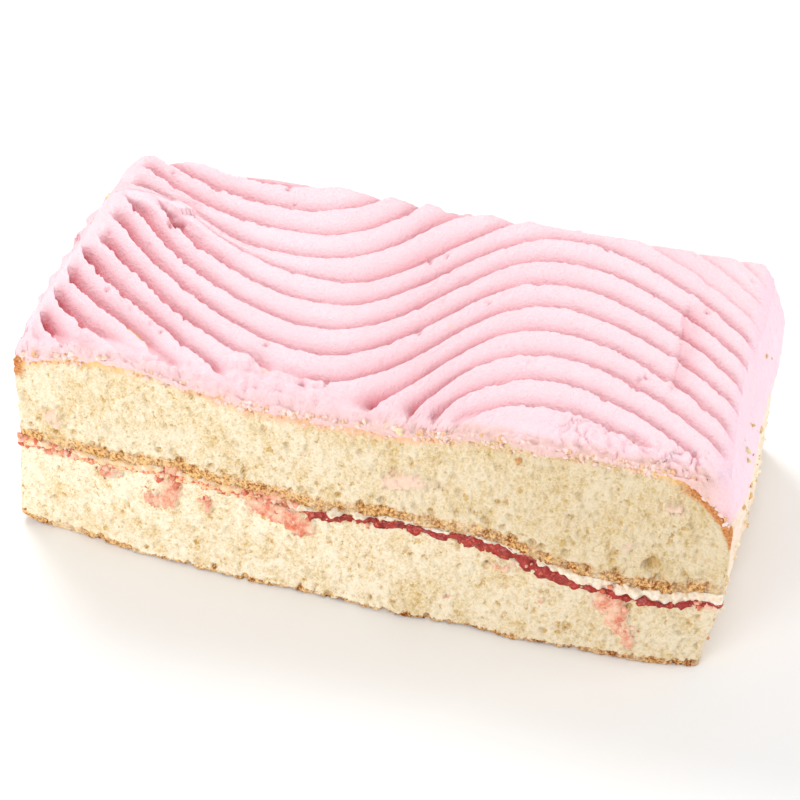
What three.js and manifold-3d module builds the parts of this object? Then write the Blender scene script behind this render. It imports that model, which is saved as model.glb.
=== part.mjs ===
// Filled sponge cake: a slab with two sponge layers, jam and cream between them, and pink icing
// on top that was combed into waves and spread thinly down both short ends.
// Millimetres, +Z up. X runs along the slab, -Y is the long cut face, Z = 0 is the underside.
import * as THREE from 'three';
import { mergeVertices } from 'three/addons/utils/BufferGeometryUtils.js';
import Module from 'manifold-3d';

const wasm = await Module();
wasm.setup();

// Plan of the slab: reaches are measured from the middle, at the foot of the cake.
const slab = {
  frontReach: 38.6,
  frontSwell: 5.2,
  backReach: 41.8,
  backSwell: 2.0,
  backPhase: 40,
  rightReach: 88.2,
  rightTurn: 1.2,
  leftReach: 85.6,
  leftFoot: 4.0,
  leftPhase: 20,
  height: 60.4,
  cornerRadius: 1.6,
};

// Slow swells of all the upright faces: height, and length along and upwards.
const swells = [
  { height: 0.35, along: 9.1, up: 13 },
  { height: 0.25, along: 5.3, up: -7.7 },
];

// The right end leans in above this height, as its shoulder was rounded by the spatula.
const shoulder = { from: 46, over: 15, lean: 5.2, power: 1.3 };

// The right end's front corner is tucked in at its foot and widens upwards.
const frontCorner = { widen: 3.6, tuck: 2.2, height: 24, from: 14, over: 24 };

// The left coat bulges under the start of the comb marks, between these places across the cake.
const bulge = { out: 2.4, fromZ: 34, overZ: 16, frontY: -40, frontOver: 22, backY: 12, backOver: 26 };

// Layers, from the bottom up. The filling sinks towards the right end.
const layers = {
  gap: 0.3,
  jamLine: 26.6,
  jamWave: 0.5,
  jamWaveLength: 11,
  jamSink: 8.4,
  jamSinkFrom: 24,
  jamSinkOver: 54,
  jamSinkLess: 0.4,
  jamSinkLessFrom: -20,
  jamSinkLessOver: 60,
  jamTip: 1.6,
  jamTipFrom: 76,
  jamTipOver: 8,
  jamThickness: 1.2,
  jamWaver: 0.25,
  jamWaverAlong: 6,
  jamWaverAcross: 9,
  creamLeft: 0.9,
  creamRight: 3.0,
  creamGrowFrom: 15,
  creamGrowOver: 58,
  spongeTop: 54.0,
  spongeBump: 2.6,
  spongeRightDrop: 8,
  spongeRightFrom: 75,
  spongeRightOver: 11,
  spongeLeftDrop: 3.5,
  spongeLeftFrom: 80,
  spongeLeftOver: 5,
};

// The upper sponge stands higher along the front in two humps, one at each side of the middle.
const humps = {
  leftX: -62,
  leftWidth: 15,
  rightFrom: 5,
  rightOver: 40,
  rightTo: 72,
  rightFade: 12,
  fromFront: 27,
  acrossOver: 9,
};

// Icing: the flat of the top, its worked edges and the thin coat on the ends. The coats stop short
// of the cut faces in a round.
const icing = {
  skin: 2.3,
  skinAtFoot: 1.0,
  skinGrowOver: 34,
  skinFrom: 5,
  skinEdgeWave: 1.5,
  skinEdgeLength: 5,
  frontDrop: 5.2,
  frontMargin: 9,
  backRound: 2.2,
  endRound: 3.5,
  endRoundFrom: 80,
  endRoundOver: 6,
  endRoundMost: 1.2,
  coatCorner: 6,
};

// Comb marks: each line is the same wave, one tooth further forward and a little further along.
const comb = {
  pitch: 8.9,
  skew: 1.05,
  skewFromLine: 3,
  troughX: -19.7,
  troughY: 3.5,
  crestX: 38.3,
  rise: 41.4,
  leftRise: 34.2,
  leftSpan: 60,
  leftPower: 1.6,
  rightFall: 30.1,
  rightSpan: 50,
  rightPower: 1.64,
  depthLeft: 3.7,
  depthTrough: 2.3,
  depthRight: 2.8,
  depthLeftFrom: 5,
  depthLeftOver: 50,
  depthRightOver: 60,
  depthShare: 0.4,
  startX: -83,
  startOver: 5,
  endX: 81,
  endOver: 4,
  frontY: -35,
  frontOver: 4,
  rollPower: 2.2,
  firstLine: -5,
  lastLine: 12,
};

// Where the hand paused, the middle teeth slipped back a little: from line 0 on, up to line 7.
const pause = { x: 65, over: 2, fade: 12, slip: 1, fromLine: 0, fromOver: 1, toLine: 4, toOver: 3 };

// An earlier sweep of the comb shows behind the seam, at the back left.
const firstSweep = {
  troughX: -34,
  troughY: 10.8,
  skew: 4,
  leftRise: 17.4,
  leftSpan: 44,
  leftPower: 1.86,
  rightRise: 15,
  rightSpan: 28.8,
  rightPower: 2.8,
  seamRise: 14.5,
  seamFrom: -38,
  seamSpan: 38,
  endsX: -5,
  endsOver: 17,
  tuck: 1.2,
  smoothFrom: 36,
  smoothOver: 10,
  smoothShare: 0.7,
};

// Mesh fineness
const stations = 30;
const rowsAcross = 8;
const combColumn = 4.6;
const combReach = 96;
const ridgeSteps = [0.02, 0.35, 0.62, 0.82, 0.95];
const grooveAt = 0.95;
const stationEase = 0.25;
const coreOverhang = 1.4;
const clearAbove = 5;
const clearBelow = -10;
const sheetFloor = -5;
const mergeWithin = 1e-4;

const { clamp, lerp, smoothstep, smootherstep } = THREE.MathUtils;
const bell = (x, middle, width) => Math.exp(-(((x - middle) / width) ** 2));
const ramp = (x, from, over) => smoothstep(x, from, from + over);

// Plan outline: how far each face stands out at a place along it and at a height.
const swell = (x) => Math.max(0, 1 - (x / slab.rightReach) ** 2);

function unevenness(along, z) {
  return swells.reduce((sum, wave) => sum + wave.height * Math.sin(along / wave.along + z / wave.up), 0);
}

function frontFace(x, z) {
  return slab.frontReach + slab.frontSwell * swell(x) * (1 - z / slab.height) + unevenness(x, z);
}

function backFace(x, z) {
  return slab.backReach + slab.backSwell * swell(x) + unevenness(x + slab.backPhase, z);
}

function rightFace(y, z) {
  const lean = shoulder.lean * clamp((z - shoulder.from) / shoulder.over, 0, 1) ** shoulder.power;
  const widened = frontCorner.widen * ramp(z, 0, frontCorner.height) - frontCorner.tuck;
  const corner = widened * ramp(-y, frontCorner.from, frontCorner.over);
  return slab.rightReach + slab.rightTurn * (y / slab.backReach) - lean + corner + unevenness(y, z);
}

function leftFace(y, z) {
  return slab.leftReach + slab.leftFoot * (1 - z / slab.height) + unevenness(y + slab.leftPhase, z);
}

function leftBulge(y, z) {
  const across = ramp(y, bulge.frontY, bulge.frontOver) * (1 - ramp(y, bulge.backY, bulge.backOver));
  return bulge.out * ramp(z, bulge.fromZ, bulge.overZ) * across;
}

// The coat on the ends gets thinner towards the foot.
const skinThickness = (z) => lerp(icing.skinAtFoot, icing.skin, ramp(z, 0, icing.skinGrowOver));

// Maps a place on the unit square (u along, v across, -1 to 1) to the plan at a height.
function planPoint(u, v, z, endInset, cornerRadius) {
  let along = Math.abs(u) * slab.rightReach;
  let across = Math.abs(v) * slab.frontReach;
  const overAlong = (along - slab.rightReach + cornerRadius) / cornerRadius;
  const overAcross = (across - slab.frontReach + cornerRadius) / cornerRadius;
  if (cornerRadius > 0 && overAlong > 0 && overAcross > 0) {
    const pull = Math.max(overAlong, overAcross) / Math.hypot(overAlong, overAcross);
    along = slab.rightReach - cornerRadius + cornerRadius * overAlong * pull;
    across = slab.frontReach - cornerRadius + cornerRadius * overAcross * pull;
  }
  const x0 = Math.sign(u) * along;
  const y0 = Math.sign(v) * across;
  const reachX = (u > 0 ? rightFace(y0, z) : leftFace(y0, z)) - endInset(z, u, y0);
  const reachY = v > 0 ? backFace(x0, z) : frontFace(x0, z);
  return [(x0 / slab.rightReach) * reachX, (y0 / slab.frontReach) * reachY];
}

// Heights of the layers at a place on the plan.
function jamFloor(x, y) {
  const less = layers.jamSinkLess * ramp(y, layers.jamSinkLessFrom, layers.jamSinkLessOver);
  const sink = layers.jamSink * ramp(x, layers.jamSinkFrom, layers.jamSinkOver) * (1 - less);
  const tip = layers.jamTip * ramp(x, layers.jamTipFrom, layers.jamTipOver);
  return layers.jamLine + layers.jamWave * Math.sin(x / layers.jamWaveLength) - sink + tip;
}

function jamThickness(x, y) {
  const waver = layers.jamWaver * Math.sin(x / layers.jamWaverAlong + y / layers.jamWaverAcross);
  return layers.jamThickness * (1 + waver);
}

function creamThickness(x) {
  return lerp(layers.creamLeft, layers.creamRight, ramp(x, layers.creamGrowFrom, layers.creamGrowOver));
}

const creamFloor = (x, y) => jamFloor(x, y) + jamThickness(x, y) + layers.gap;
const upperFloor = (x, y) => creamFloor(x, y) + creamThickness(x) + layers.gap;

// Where the icing is dragged thin at the front, the sponge stands higher: at the left and right.
function frontBumps(x) {
  const left = bell(x, humps.leftX, humps.leftWidth);
  return left + ramp(x, humps.rightFrom, humps.rightOver) * (1 - ramp(x, humps.rightTo, humps.rightFade));
}

function spongeRoof(x, y) {
  const bump = layers.spongeBump * frontBumps(x) * ramp(-y, humps.fromFront, humps.acrossOver);
  const right = clamp((x - layers.spongeRightFrom) / layers.spongeRightOver, 0, 1) ** 2;
  const left = clamp((-layers.spongeLeftFrom - x) / layers.spongeLeftOver, 0, 1) ** 2;
  return layers.spongeTop + bump - layers.spongeRightDrop * right - layers.spongeLeftDrop * left;
}

// Comb lines, given as the y of line n at x. Lines 0 and up belong to the last sweep.
function wave(x) {
  if (x < comb.troughX) {
    return comb.leftRise * ((comb.troughX - x) / comb.leftSpan) ** comb.leftPower;
  }
  if (x < comb.crestX) {
    return comb.rise * smootherstep(x, comb.troughX, comb.crestX);
  }
  return comb.rise - comb.rightFall * ((x - comb.crestX) / comb.rightSpan) ** comb.rightPower;
}

function lastSweepLine(n, x) {
  return comb.troughY - comb.pitch * n + wave(x - comb.skew * (n - comb.skewFromLine));
}

function firstSweepRight(x) {
  return firstSweep.rightRise * ((x - firstSweep.troughX) / firstSweep.rightSpan) ** firstSweep.rightPower;
}

function firstSweepLine(n, x) {
  const back = -1 - n;
  const along = x + firstSweep.skew * back;
  const base = firstSweep.troughY + comb.pitch * back;
  if (along > firstSweep.troughX) {
    return base + firstSweepRight(along);
  }
  const out = (firstSweep.troughX - along) / firstSweep.leftSpan;
  return base + firstSweep.leftRise * out ** firstSweep.leftPower;
}

function seamLine(x) {
  if (x > firstSweep.troughX) {
    return firstSweep.troughY + firstSweepRight(x);
  }
  return firstSweep.troughY + firstSweep.seamRise * ramp(-x, -firstSweep.seamFrom, firstSweep.seamSpan);
}

function pauseSlip(n, x) {
  const along = ramp(x, pause.x, pause.over) * (1 - ramp(x, pause.x + pause.over, pause.fade));
  const middle = ramp(n, pause.fromLine, pause.fromOver) * (1 - ramp(n, pause.toLine, pause.toOver));
  return pause.slip * along * middle;
}

function combLine(n, x) {
  const last = lastSweepLine(n, x);
  const overwritten = ramp(x, firstSweep.endsX, firstSweep.endsOver);
  const seam = lerp(seamLine(x), lastSweepLine(-1, x), overwritten);
  if (n >= 0) {
    return Math.min(last, seam - firstSweep.tuck * (n + 1)) + pauseSlip(n, x);
  }
  return n === -1 ? seam : lerp(firstSweepLine(n, x), last, overwritten);
}

// The icing's top: a gentle deck with worked edges, and the comb's rolls and steep lips.
function icingDeck(x, y) {
  const front = -frontFace(x, slab.height);
  const toFront = clamp((front + icing.frontMargin - y) / icing.frontMargin, 0, 1);
  const drop = (icing.frontDrop - layers.spongeBump * frontBumps(x)) * toFront ** 2;
  const toBack = clamp((y - backFace(x, slab.height) + icing.backRound) / icing.backRound, 0, 1);
  const toEnd = clamp((Math.abs(x) - icing.endRoundFrom) / icing.endRoundOver, 0, icing.endRoundMost);
  return slab.height - drop - icing.backRound * toBack ** 2 - icing.endRound * toEnd ** 2;
}

function combDepth(n, x, y, spacing) {
  const alongDepth = x < comb.troughX
    ? lerp(comb.depthTrough, comb.depthLeft, ramp(comb.troughX - x, comb.depthLeftFrom, comb.depthLeftOver))
    : lerp(comb.depthTrough, comb.depthRight, ramp(x, comb.troughX, comb.depthRightOver));
  const between = ramp(x, comb.startX, comb.startOver) * (1 - ramp(x, comb.endX, comb.endOver));
  const shown = between * ramp(y, comb.frontY, comb.frontOver);
  const smoothed = firstSweep.smoothShare * ramp(x, firstSweep.smoothFrom, firstSweep.smoothOver);
  return Math.min(alongDepth, comb.depthShare * spacing) * shown * (n < 0 ? 1 - smoothed : 1);
}

// Depth of the roll between two lines: from the lip of one (0) down to the foot of the next.
const rollShape = (t) => (t / grooveAt) ** comb.rollPower;

// Solids
function solidFrom(points, faces) {
  const geometry = new THREE.BufferGeometry();
  geometry.setAttribute('position', new THREE.Float32BufferAttribute(points, 3));
  geometry.setIndex(faces);
  return geometry;
}

// Two sheets of the same grid become one closed body, joined by a wall with rings between them.
function closeSheets(columns, rows, sheetPoint, ringCount) {
  const points = [];
  const faces = [];
  const sheetSize = columns * rows;
  for (const level of [0, 1]) {
    for (let j = 0; j < rows; j += 1) {
      for (let i = 0; i < columns; i += 1) {
        points.push(...sheetPoint(i, j, level));
      }
    }
  }
  for (let j = 0; j + 1 < rows; j += 1) {
    for (let i = 0; i + 1 < columns; i += 1) {
      const a = j * columns + i;
      const b = a + 1;
      const c = b + columns;
      const d = a + columns;
      faces.push(a, c, b, a, d, c);
      faces.push(sheetSize + a, sheetSize + b, sheetSize + c);
      faces.push(sheetSize + a, sheetSize + c, sheetSize + d);
    }
  }
  const border = [];
  for (let i = 0; i < columns; i += 1) border.push([i, 0]);
  for (let j = 1; j < rows; j += 1) border.push([columns - 1, j]);
  for (let i = columns - 2; i >= 0; i -= 1) border.push([i, rows - 1]);
  for (let j = rows - 2; j > 0; j -= 1) border.push([0, j]);
  let lower = border.map(([i, j]) => j * columns + i);
  for (let ring = 1; ring <= ringCount + 1; ring += 1) {
    let upper = border.map(([i, j]) => sheetSize + j * columns + i);
    if (ring <= ringCount) {
      const start = points.length / 3;
      for (const [i, j] of border) points.push(...sheetPoint(i, j, ring / (ringCount + 1)));
      upper = border.map((_, place) => start + place);
    }
    for (let place = 0; place < border.length; place += 1) {
      const next = (place + 1) % border.length;
      faces.push(lower[place], lower[next], upper[next], lower[place], upper[next], upper[place]);
    }
    lower = upper;
  }
  return solidFrom(points, faces);
}

// A layer of the slab between two heights. Stations lie closer together towards the ends.
function layer({
  floor,
  roof,
  rings,
  endInset = skinThickness,
  cornerRadius = slab.cornerRadius,
  overhang = 1,
}) {
  const rows = overhang > 1 ? rowsAcross + 3 : rowsAcross + 1;
  const first = overhang > 1 ? -1 : 0;
  const point = (i, j, level) => {
    const s = (2 * i) / stations - 1;
    const u = s * (1 + stationEase - stationEase * s * s);
    const across = (2 * (j + first)) / rowsAcross - 1;
    const v = Math.abs(across) > 1 ? Math.sign(across) * overhang : across;
    const x = u * slab.rightReach;
    const y = clamp(v, -1, 1) * slab.backReach;
    const z = lerp(floor(x, y), roof(x, y), level);
    return [...planPoint(u, v, z, endInset, cornerRadius), z];
  };
  return closeSheets(stations + 1, rows, point, rings);
}

// The combed top as a thick sheet that runs past the slab on all sides, its rows on the comb lines.
function combedSheet() {
  const columns = Math.round((2 * combReach) / combColumn) + 1;
  const perRidge = ridgeSteps.length;
  const rows = (comb.lastLine - comb.firstLine) * perRidge;
  const point = (i, j, level) => {
    const row = rows - 1 - j;
    const n = comb.firstLine + Math.floor(row / perRidge);
    const t = ridgeSteps[row % perRidge];
    const x = lerp(-combReach, combReach, i / (columns - 1));
    const spacing = combLine(n, x) - combLine(n + 1, x);
    const y = combLine(n, x) - t * spacing;
    const z = icingDeck(x, y) - combDepth(n, x, y, spacing) * rollShape(t);
    return [x, y, level === 0 ? sheetFloor : z];
  };
  return closeSheets(columns, rows, point, 0);
}

function toManifold(geometry) {
  geometry.deleteAttribute('normal');
  geometry.deleteAttribute('uv');
  const merged = mergeVertices(geometry, mergeWithin);
  return new wasm.Manifold(new wasm.Mesh({
    numProp: 3,
    vertProperties: merged.attributes.position.array,
    triVerts: new Uint32Array(merged.index.array),
  }));
}

function fromManifold(manifold) {
  const mesh = manifold.getMesh();
  return solidFrom(mesh.vertProperties, Array.from(mesh.triVerts));
}

function icingGeometry() {
  const foot = (x, y) => icing.skinFrom + icing.skinEdgeWave * Math.sin(y / icing.skinEdgeLength);
  const outline = layer({
    floor: foot,
    roof: () => slab.height + clearAbove,
    rings: 6,
    endInset: (z, u, y) => (u < 0 ? -leftBulge(y, z) : 0),
    cornerRadius: icing.coatCorner,
  });
  const core = layer({
    floor: () => clearBelow,
    roof: (x, y) => spongeRoof(x, y) + layers.gap,
    rings: 8,
    endInset: (z) => skinThickness(z) - layers.gap,
    cornerRadius: 0,
    overhang: coreOverhang,
  });
  return fromManifold(toManifold(combedSheet()).intersect(toManifold(outline)).subtract(toManifold(core)));
}

function piece(name, geometry, colour, roughness) {
  const material = new THREE.MeshStandardMaterial({ color: colour, roughness, metalness: 0 });
  const mesh = new THREE.Mesh(geometry, material);
  mesh.name = name;
  return mesh;
}

const cake = new THREE.Group();

cake.add(piece(
  'sponge_lower',
  layer({ floor: () => 0, roof: (x, y) => jamFloor(x, y) - layers.gap, rings: 2 }),
  '#efe2b4',
  0.9,
));
cake.add(piece(
  'jam',
  layer({ floor: jamFloor, roof: (x, y) => jamFloor(x, y) + jamThickness(x, y), rings: 0 }),
  '#8e1f22',
  0.3,
));
cake.add(piece(
  'cream',
  layer({ floor: creamFloor, roof: (x, y) => creamFloor(x, y) + creamThickness(x), rings: 0 }),
  '#f6efe2',
  0.5,
));
cake.add(piece(
  'sponge_upper',
  layer({ floor: upperFloor, roof: spongeRoof, rings: 3 }),
  '#efe2b4',
  0.9,
));
cake.add(piece('icing', icingGeometry(), '#f9c9d6', 0.55));

// The origin is the middle of the underside of the whole cake's box.
const box = new THREE.Box3().setFromObject(cake);
const middle = box.getCenter(new THREE.Vector3());
for (const mesh of cake.children) {
  mesh.geometry.translate(-middle.x, -middle.y, -box.min.z);
}

export default cake;
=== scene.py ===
import math

import bpy
import numpy as np
from mathutils import Matrix, Vector


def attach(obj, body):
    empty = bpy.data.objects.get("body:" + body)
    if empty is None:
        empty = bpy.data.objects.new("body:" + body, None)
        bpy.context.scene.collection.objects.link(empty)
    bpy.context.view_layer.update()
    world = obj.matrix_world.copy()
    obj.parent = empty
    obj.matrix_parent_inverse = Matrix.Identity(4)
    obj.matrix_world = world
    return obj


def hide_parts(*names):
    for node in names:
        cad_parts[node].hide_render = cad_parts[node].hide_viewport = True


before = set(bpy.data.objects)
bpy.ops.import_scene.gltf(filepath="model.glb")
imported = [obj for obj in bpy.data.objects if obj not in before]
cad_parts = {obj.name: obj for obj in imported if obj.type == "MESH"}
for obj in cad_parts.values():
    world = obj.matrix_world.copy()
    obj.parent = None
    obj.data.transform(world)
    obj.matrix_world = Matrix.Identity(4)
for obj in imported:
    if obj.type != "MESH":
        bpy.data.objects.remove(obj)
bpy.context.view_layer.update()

print("cake: the packed layers are loaded")

# Sizes are in millimetres and are turned into metres where a mesh is made.
mm = 0.001

slab = {
    "frontReach": 38.6,    # half depth at the front corners
    "frontSwell": 5.2,     # how far the foot of the front swells out, mid length
    "footRight": 1.6,      # extra swell of the foot at the right
    "footRightFrom": 25,
    "footRightOver": 25,
    "backReach": 41.8,
    "backSwell": 2.0,
    "backPhase": 40,
    "rightReach": 88.2,
    "rightTurn": 0.9,
    "leftReach": 85.6,
    "leftFoot": 4.6,
    "leftPhase": 20,
    "height": 60.4,
    "cornerRadius": 1.6,
    "shiftX": 0.45,        # the middle of the cake's box lies this far left of its datum
}

# Slow swells of all the upright faces: height, and length along and upwards
slowSwells = [(0.35, 9.1, 13), (0.25, 5.3, -7.7)]

# The right end leans in above this height, as its shoulder was rounded by the spatula
shoulder = {"from": 46.0, "over": 15.0, "lean": 5.2, "power": 1.3}

# The right end's front corner is tucked in at its foot and widens upwards
frontCorner = {"widen": 3.6, "tuck": 2.2, "height": 24, "from": 14, "over": 24}

# The underside lifts a little at the left front corner
liftedCorner = {"lift": 2.2, "from": 78, "over": 10, "acrossFrom": 16, "acrossOver": 22}

layers = {
    "jamLine": 26.6,
    "jamWave": 0.5,
    "jamSink": 8.4,        # the filling sinks to the right, less so at the back, and its tip rises
    "jamSinkFrom": 24,
    "jamSinkOver": 54,
    "jamSinkLess": 0.4,
    "jamTip": 1.6,
    "jamTipFrom": 76,
    "jamTipOver": 8,
    "jamThickness": 1.1,
    "jamWaver": 0.25,
    "creamLeft": 0.9,
    "creamRight": 3.0,
    "creamFrom": 15,
    "creamOver": 58,
    "gap": 0.3,
    "overlap": 0.35,       # neighbours reach into each other by this much
    "spongeTop": 54.6,
    "spongeBump": 4.4,
    "dropFrom": 80,        # the sponge's top drops towards both ends
    "rightDrop": 11.0,
    "rightDropOver": 8.2,
    "leftDrop": 1.5,
    "leftDropOver": 5,
}

# The jam is thicker between the middle and the right end
thickJam = {"more": 1.7, "early": 0.2, "earlyFrom": -20, "earlyOver": 14, "from": 20, "over": 12,
            "to": 50, "fade": 8}

# The upper sponge stands higher along the front in two humps, one at each side of the middle
humps = {"leftX": -62, "leftWidth": 21, "rightFrom": 0, "rightOver": 36, "rightTo": 78, "rightFade": 10,
         "fromFront": 27, "icingFrom": 24, "acrossOver": 9}

# Icing on the ends, how thin it gets at the foot and at the cut front, and the round in which it stops
coat = {"thickness": 2.3, "atFoot": 1.0, "growOver": 34, "lessAtCut": 0.85, "cutFrom": 0.8, "cutOver": 0.2,
        "corner": 6.5, "lowCorner": 6, "lowFrom": 42, "lowRight": 2, "lowOver": 8}


def ramp(value, start, over):
    t = np.clip((value - start) / over, 0, 1)
    return t * t * (3 - 2 * t)


def bell(value, middle, width):
    return np.exp(-((value - middle) / width) ** 2)


def midLength(x):
    return np.maximum(0, 1 - (x / slab["rightReach"]) ** 2)


def unevenness(along, z):
    return sum(height * np.sin(along / length + z / up) for height, length, up in slowSwells)


def frontFace(x, z):
    right = slab["footRight"] * ramp(x, slab["footRightFrom"], slab["footRightOver"])
    foot = slab["frontSwell"] * midLength(x) + right
    return slab["frontReach"] + foot * (1 - z / slab["height"]) + unevenness(x, z)


def backFace(x, z):
    return slab["backReach"] + slab["backSwell"] * midLength(x) + unevenness(x + slab["backPhase"], z)


def rightFace(y, z):
    lean = shoulder["lean"] * np.clip((z - shoulder["from"]) / shoulder["over"], 0, 1) ** shoulder["power"]
    corner = frontCorner
    flare = corner["widen"] * ramp(z, 0, corner["height"]) - corner["tuck"]
    flare = flare * ramp(-y, corner["from"], corner["over"])
    turn = slab["rightTurn"] * y / slab["backReach"]
    return slab["rightReach"] + turn - lean + flare + unevenness(y, z)


def leftFace(y, z):
    foot = slab["leftFoot"] * (1 - z / slab["height"])
    return slab["leftReach"] + foot + unevenness(y + slab["leftPhase"], z)


def coatThickness(z):
    return coat["atFoot"] + (coat["thickness"] - coat["atFoot"]) * ramp(z, 0, coat["growOver"])


def noInset(z):
    return 0 * z


def jamFloor(x, y):
    less = 1 - layers["jamSinkLess"] * ramp(y, -20, 60)
    sink = layers["jamSink"] * ramp(x, layers["jamSinkFrom"], layers["jamSinkOver"]) * less
    waver = layers["jamWave"] * (np.sin(x / 11) + 0.7 * np.sin(x / 4.3 + y / 7))
    tip = layers["jamTip"] * ramp(x, layers["jamTipFrom"], layers["jamTipOver"])
    return layers["jamLine"] + waver - sink + tip - 0.5 * jamMore(x)


def jamMore(x):
    jam = thickJam
    early = jam["early"] * ramp(x, jam["earlyFrom"], jam["earlyOver"])
    share = early + (1 - jam["early"]) * ramp(x, jam["from"], jam["over"])
    return jam["more"] * share * (1 - ramp(x, jam["to"], jam["fade"]))


def creamFloor(x, y):
    jam = layers["jamThickness"] * (1 + layers["jamWaver"] * np.sin(x / 6 + y / 9))
    return jamFloor(x, y) + jam + jamMore(x) + layers["gap"]


def upperFloor(x, y):
    grow = (layers["creamRight"] - layers["creamLeft"]) * ramp(x, layers["creamFrom"], layers["creamOver"])
    return creamFloor(x, y) + layers["creamLeft"] + grow - 0.6 * jamMore(x) + layers["gap"]


def frontBumps(x):
    right = ramp(x, humps["rightFrom"], humps["rightOver"])
    right = right * (1 - ramp(x, humps["rightTo"], humps["rightFade"]))
    return bell(x, humps["leftX"], humps["leftWidth"]) + right


def spongeRoof(x, y):
    bump = layers["spongeBump"] * frontBumps(x) * ramp(-y, humps["fromFront"], humps["acrossOver"])
    right = layers["rightDrop"] * np.clip((x - layers["dropFrom"]) / layers["rightDropOver"], 0, 1) ** 2
    left = layers["leftDrop"] * np.clip((-layers["dropFrom"] - x) / layers["leftDropOver"], 0, 1) ** 2
    return layers["spongeTop"] + bump - right - left


def foot(x, y):
    corner = liftedCorner
    along = corner["lift"] * np.clip((-corner["from"] - x) / corner["over"], 0, 1) ** 2
    return along * ramp(-y, corner["acrossFrom"], corner["acrossOver"])


def coatCorner(u, v, z):
    # Below the icing the coats stop further from the front cut, which runs to the very ends.
    low = 1 - ramp(z, coat["lowFrom"] - coat["lowRight"] * np.sign(u), coat["lowOver"])
    return coat["corner"] + coat["lowCorner"] * (v < 0) * low


def planPoint(u, v, z, endInset, cornerRadius, reach):
    along = np.abs(u) * slab["rightReach"]
    across = np.abs(v) * slab["frontReach"]
    if callable(cornerRadius):
        cornerRadius = cornerRadius(u, v, z)
    if np.any(cornerRadius):
        overAlong = (along - slab["rightReach"]) / cornerRadius + 1
        overAcross = (across - slab["frontReach"]) / cornerRadius + 1
        inCorner = (overAlong > 0) & (overAcross > 0)
        longest = np.maximum(overAlong, overAcross)
        pull = np.where(inCorner, longest / np.maximum(np.hypot(overAlong, overAcross), 1e-9), 1)
        along = np.where(inCorner, slab["rightReach"] + cornerRadius * (overAlong * pull - 1), along)
        across = np.where(inCorner, slab["frontReach"] + cornerRadius * (overAcross * pull - 1), across)
    x0 = np.sign(u) * along
    y0 = np.sign(v) * across
    inset = endInset(z) * (1 - coat["lessAtCut"] * ramp(-v, coat["cutFrom"], coat["cutOver"]))
    reachX = np.where(u > 0, rightFace(y0, z), leftFace(y0, z)) - inset
    reachY = np.where(v > 0, backFace(x0, z), frontFace(x0, z)) + reach(x0, np.sign(v), z)
    return x0 / slab["rightReach"] * reachX, y0 / slab["frontReach"] * reachY


def noReach(x, side, z):
    return 0 * x


def makeMesh(name, points, quads, rims=()):
    # A mesh from points in millimetres, four-sided faces and, at most, two many-sided caps.
    mesh = bpy.data.meshes.new(name)
    corners = np.concatenate([quads.ravel(), *rims])
    counts = np.array([4] * len(quads) + [len(rim) for rim in rims])
    mesh.vertices.add(len(points))
    mesh.vertices.foreach_set("co", (points * mm).astype(np.float32).ravel())
    mesh.loops.add(len(corners))
    mesh.loops.foreach_set("vertex_index", corners.astype(np.int32))
    mesh.polygons.add(len(counts))
    starts = np.concatenate([[0], np.cumsum(counts)[:-1]])
    mesh.polygons.foreach_set("loop_start", starts.astype(np.int32))
    mesh.update(calc_edges=True)
    mesh.validate()
    return newPiece(name, mesh)


def newPiece(name, mesh):
    piece = bpy.data.objects.new(name, mesh)
    bpy.context.scene.collection.objects.link(piece)
    return piece


def slabBody(name, floor, roof, along, across, levels, endInset=coatThickness,
             cornerRadius=slab["cornerRadius"], reach=noReach, gridCaps=False):
    # A closed body between two heights: rings of wall, and a cap below and above.
    u, v = np.meshgrid(along, across)
    index = np.arange(u.size).reshape(u.shape)
    border = np.concatenate([index[0, :], index[1:, -1], index[-1, -2::-1], index[-2:0:-1, 0]])
    if gridCaps:
        u, v = u.ravel(), v.ravel()
        sheet = np.stack([index[:-1, :-1], index[1:, :-1], index[1:, 1:], index[:-1, 1:]], -1).reshape(-1, 4)
    else:
        u, v = u.ravel()[border], v.ravel()[border]
        border = np.arange(len(border))
    nominalX = u * slab["rightReach"]
    nominalY = np.clip(v, -1, 1) * slab["backReach"]
    low = floor(nominalX, nominalY)
    high = roof(nominalX, nominalY)

    def place(level, chosen):
        z = low[chosen] * (1 - level) + high[chosen] * level
        x, y = planPoint(u[chosen], v[chosen], z, endInset, cornerRadius, reach)
        return np.stack([x + slab["shiftX"], y, z], 1)

    everything = np.arange(u.size)
    points = [place(0, everything), place(1, everything)]
    heights = [0 * low, high - low]
    thick = [high - low, high - low]
    walls = []
    lower = border
    count = 2 * u.size
    for level in [*levels, 1]:
        upper = u.size + border
        if level < 1:
            upper = count + np.arange(len(border))
            points.append(place(level, border))
            heights.append((high - low)[border] * level)
            thick.append((high - low)[border])
            count += len(border)
        walls.append(np.stack([lower, np.roll(lower, -1), np.roll(upper, -1), upper], 1))
        lower = upper
    points = np.concatenate(points)
    walls = np.concatenate(walls)
    if gridCaps:
        piece = makeMesh(name, points, np.concatenate([walls, sheet, sheet[:, ::-1] + u.size]))
    else:
        piece = makeMesh(name, points, walls, [border[::-1], u.size + border])
    above = np.concatenate(heights)
    for label, values in (("aboveFloor", above), ("belowRoof", np.concatenate(thick) - above)):
        attribute = piece.data.attributes.new(label, "FLOAT", "POINT")
        attribute.data.foreach_set("value", values.astype(np.float32))
    return piece


def steps(length, size):
    # Even steps over -1 to 1, of about the size wanted along a length.
    return np.linspace(-1, 1, round(length / size) + 1)


def levelsOf(height, size):
    count = round(height / size)
    return np.arange(1, count) / count


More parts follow.
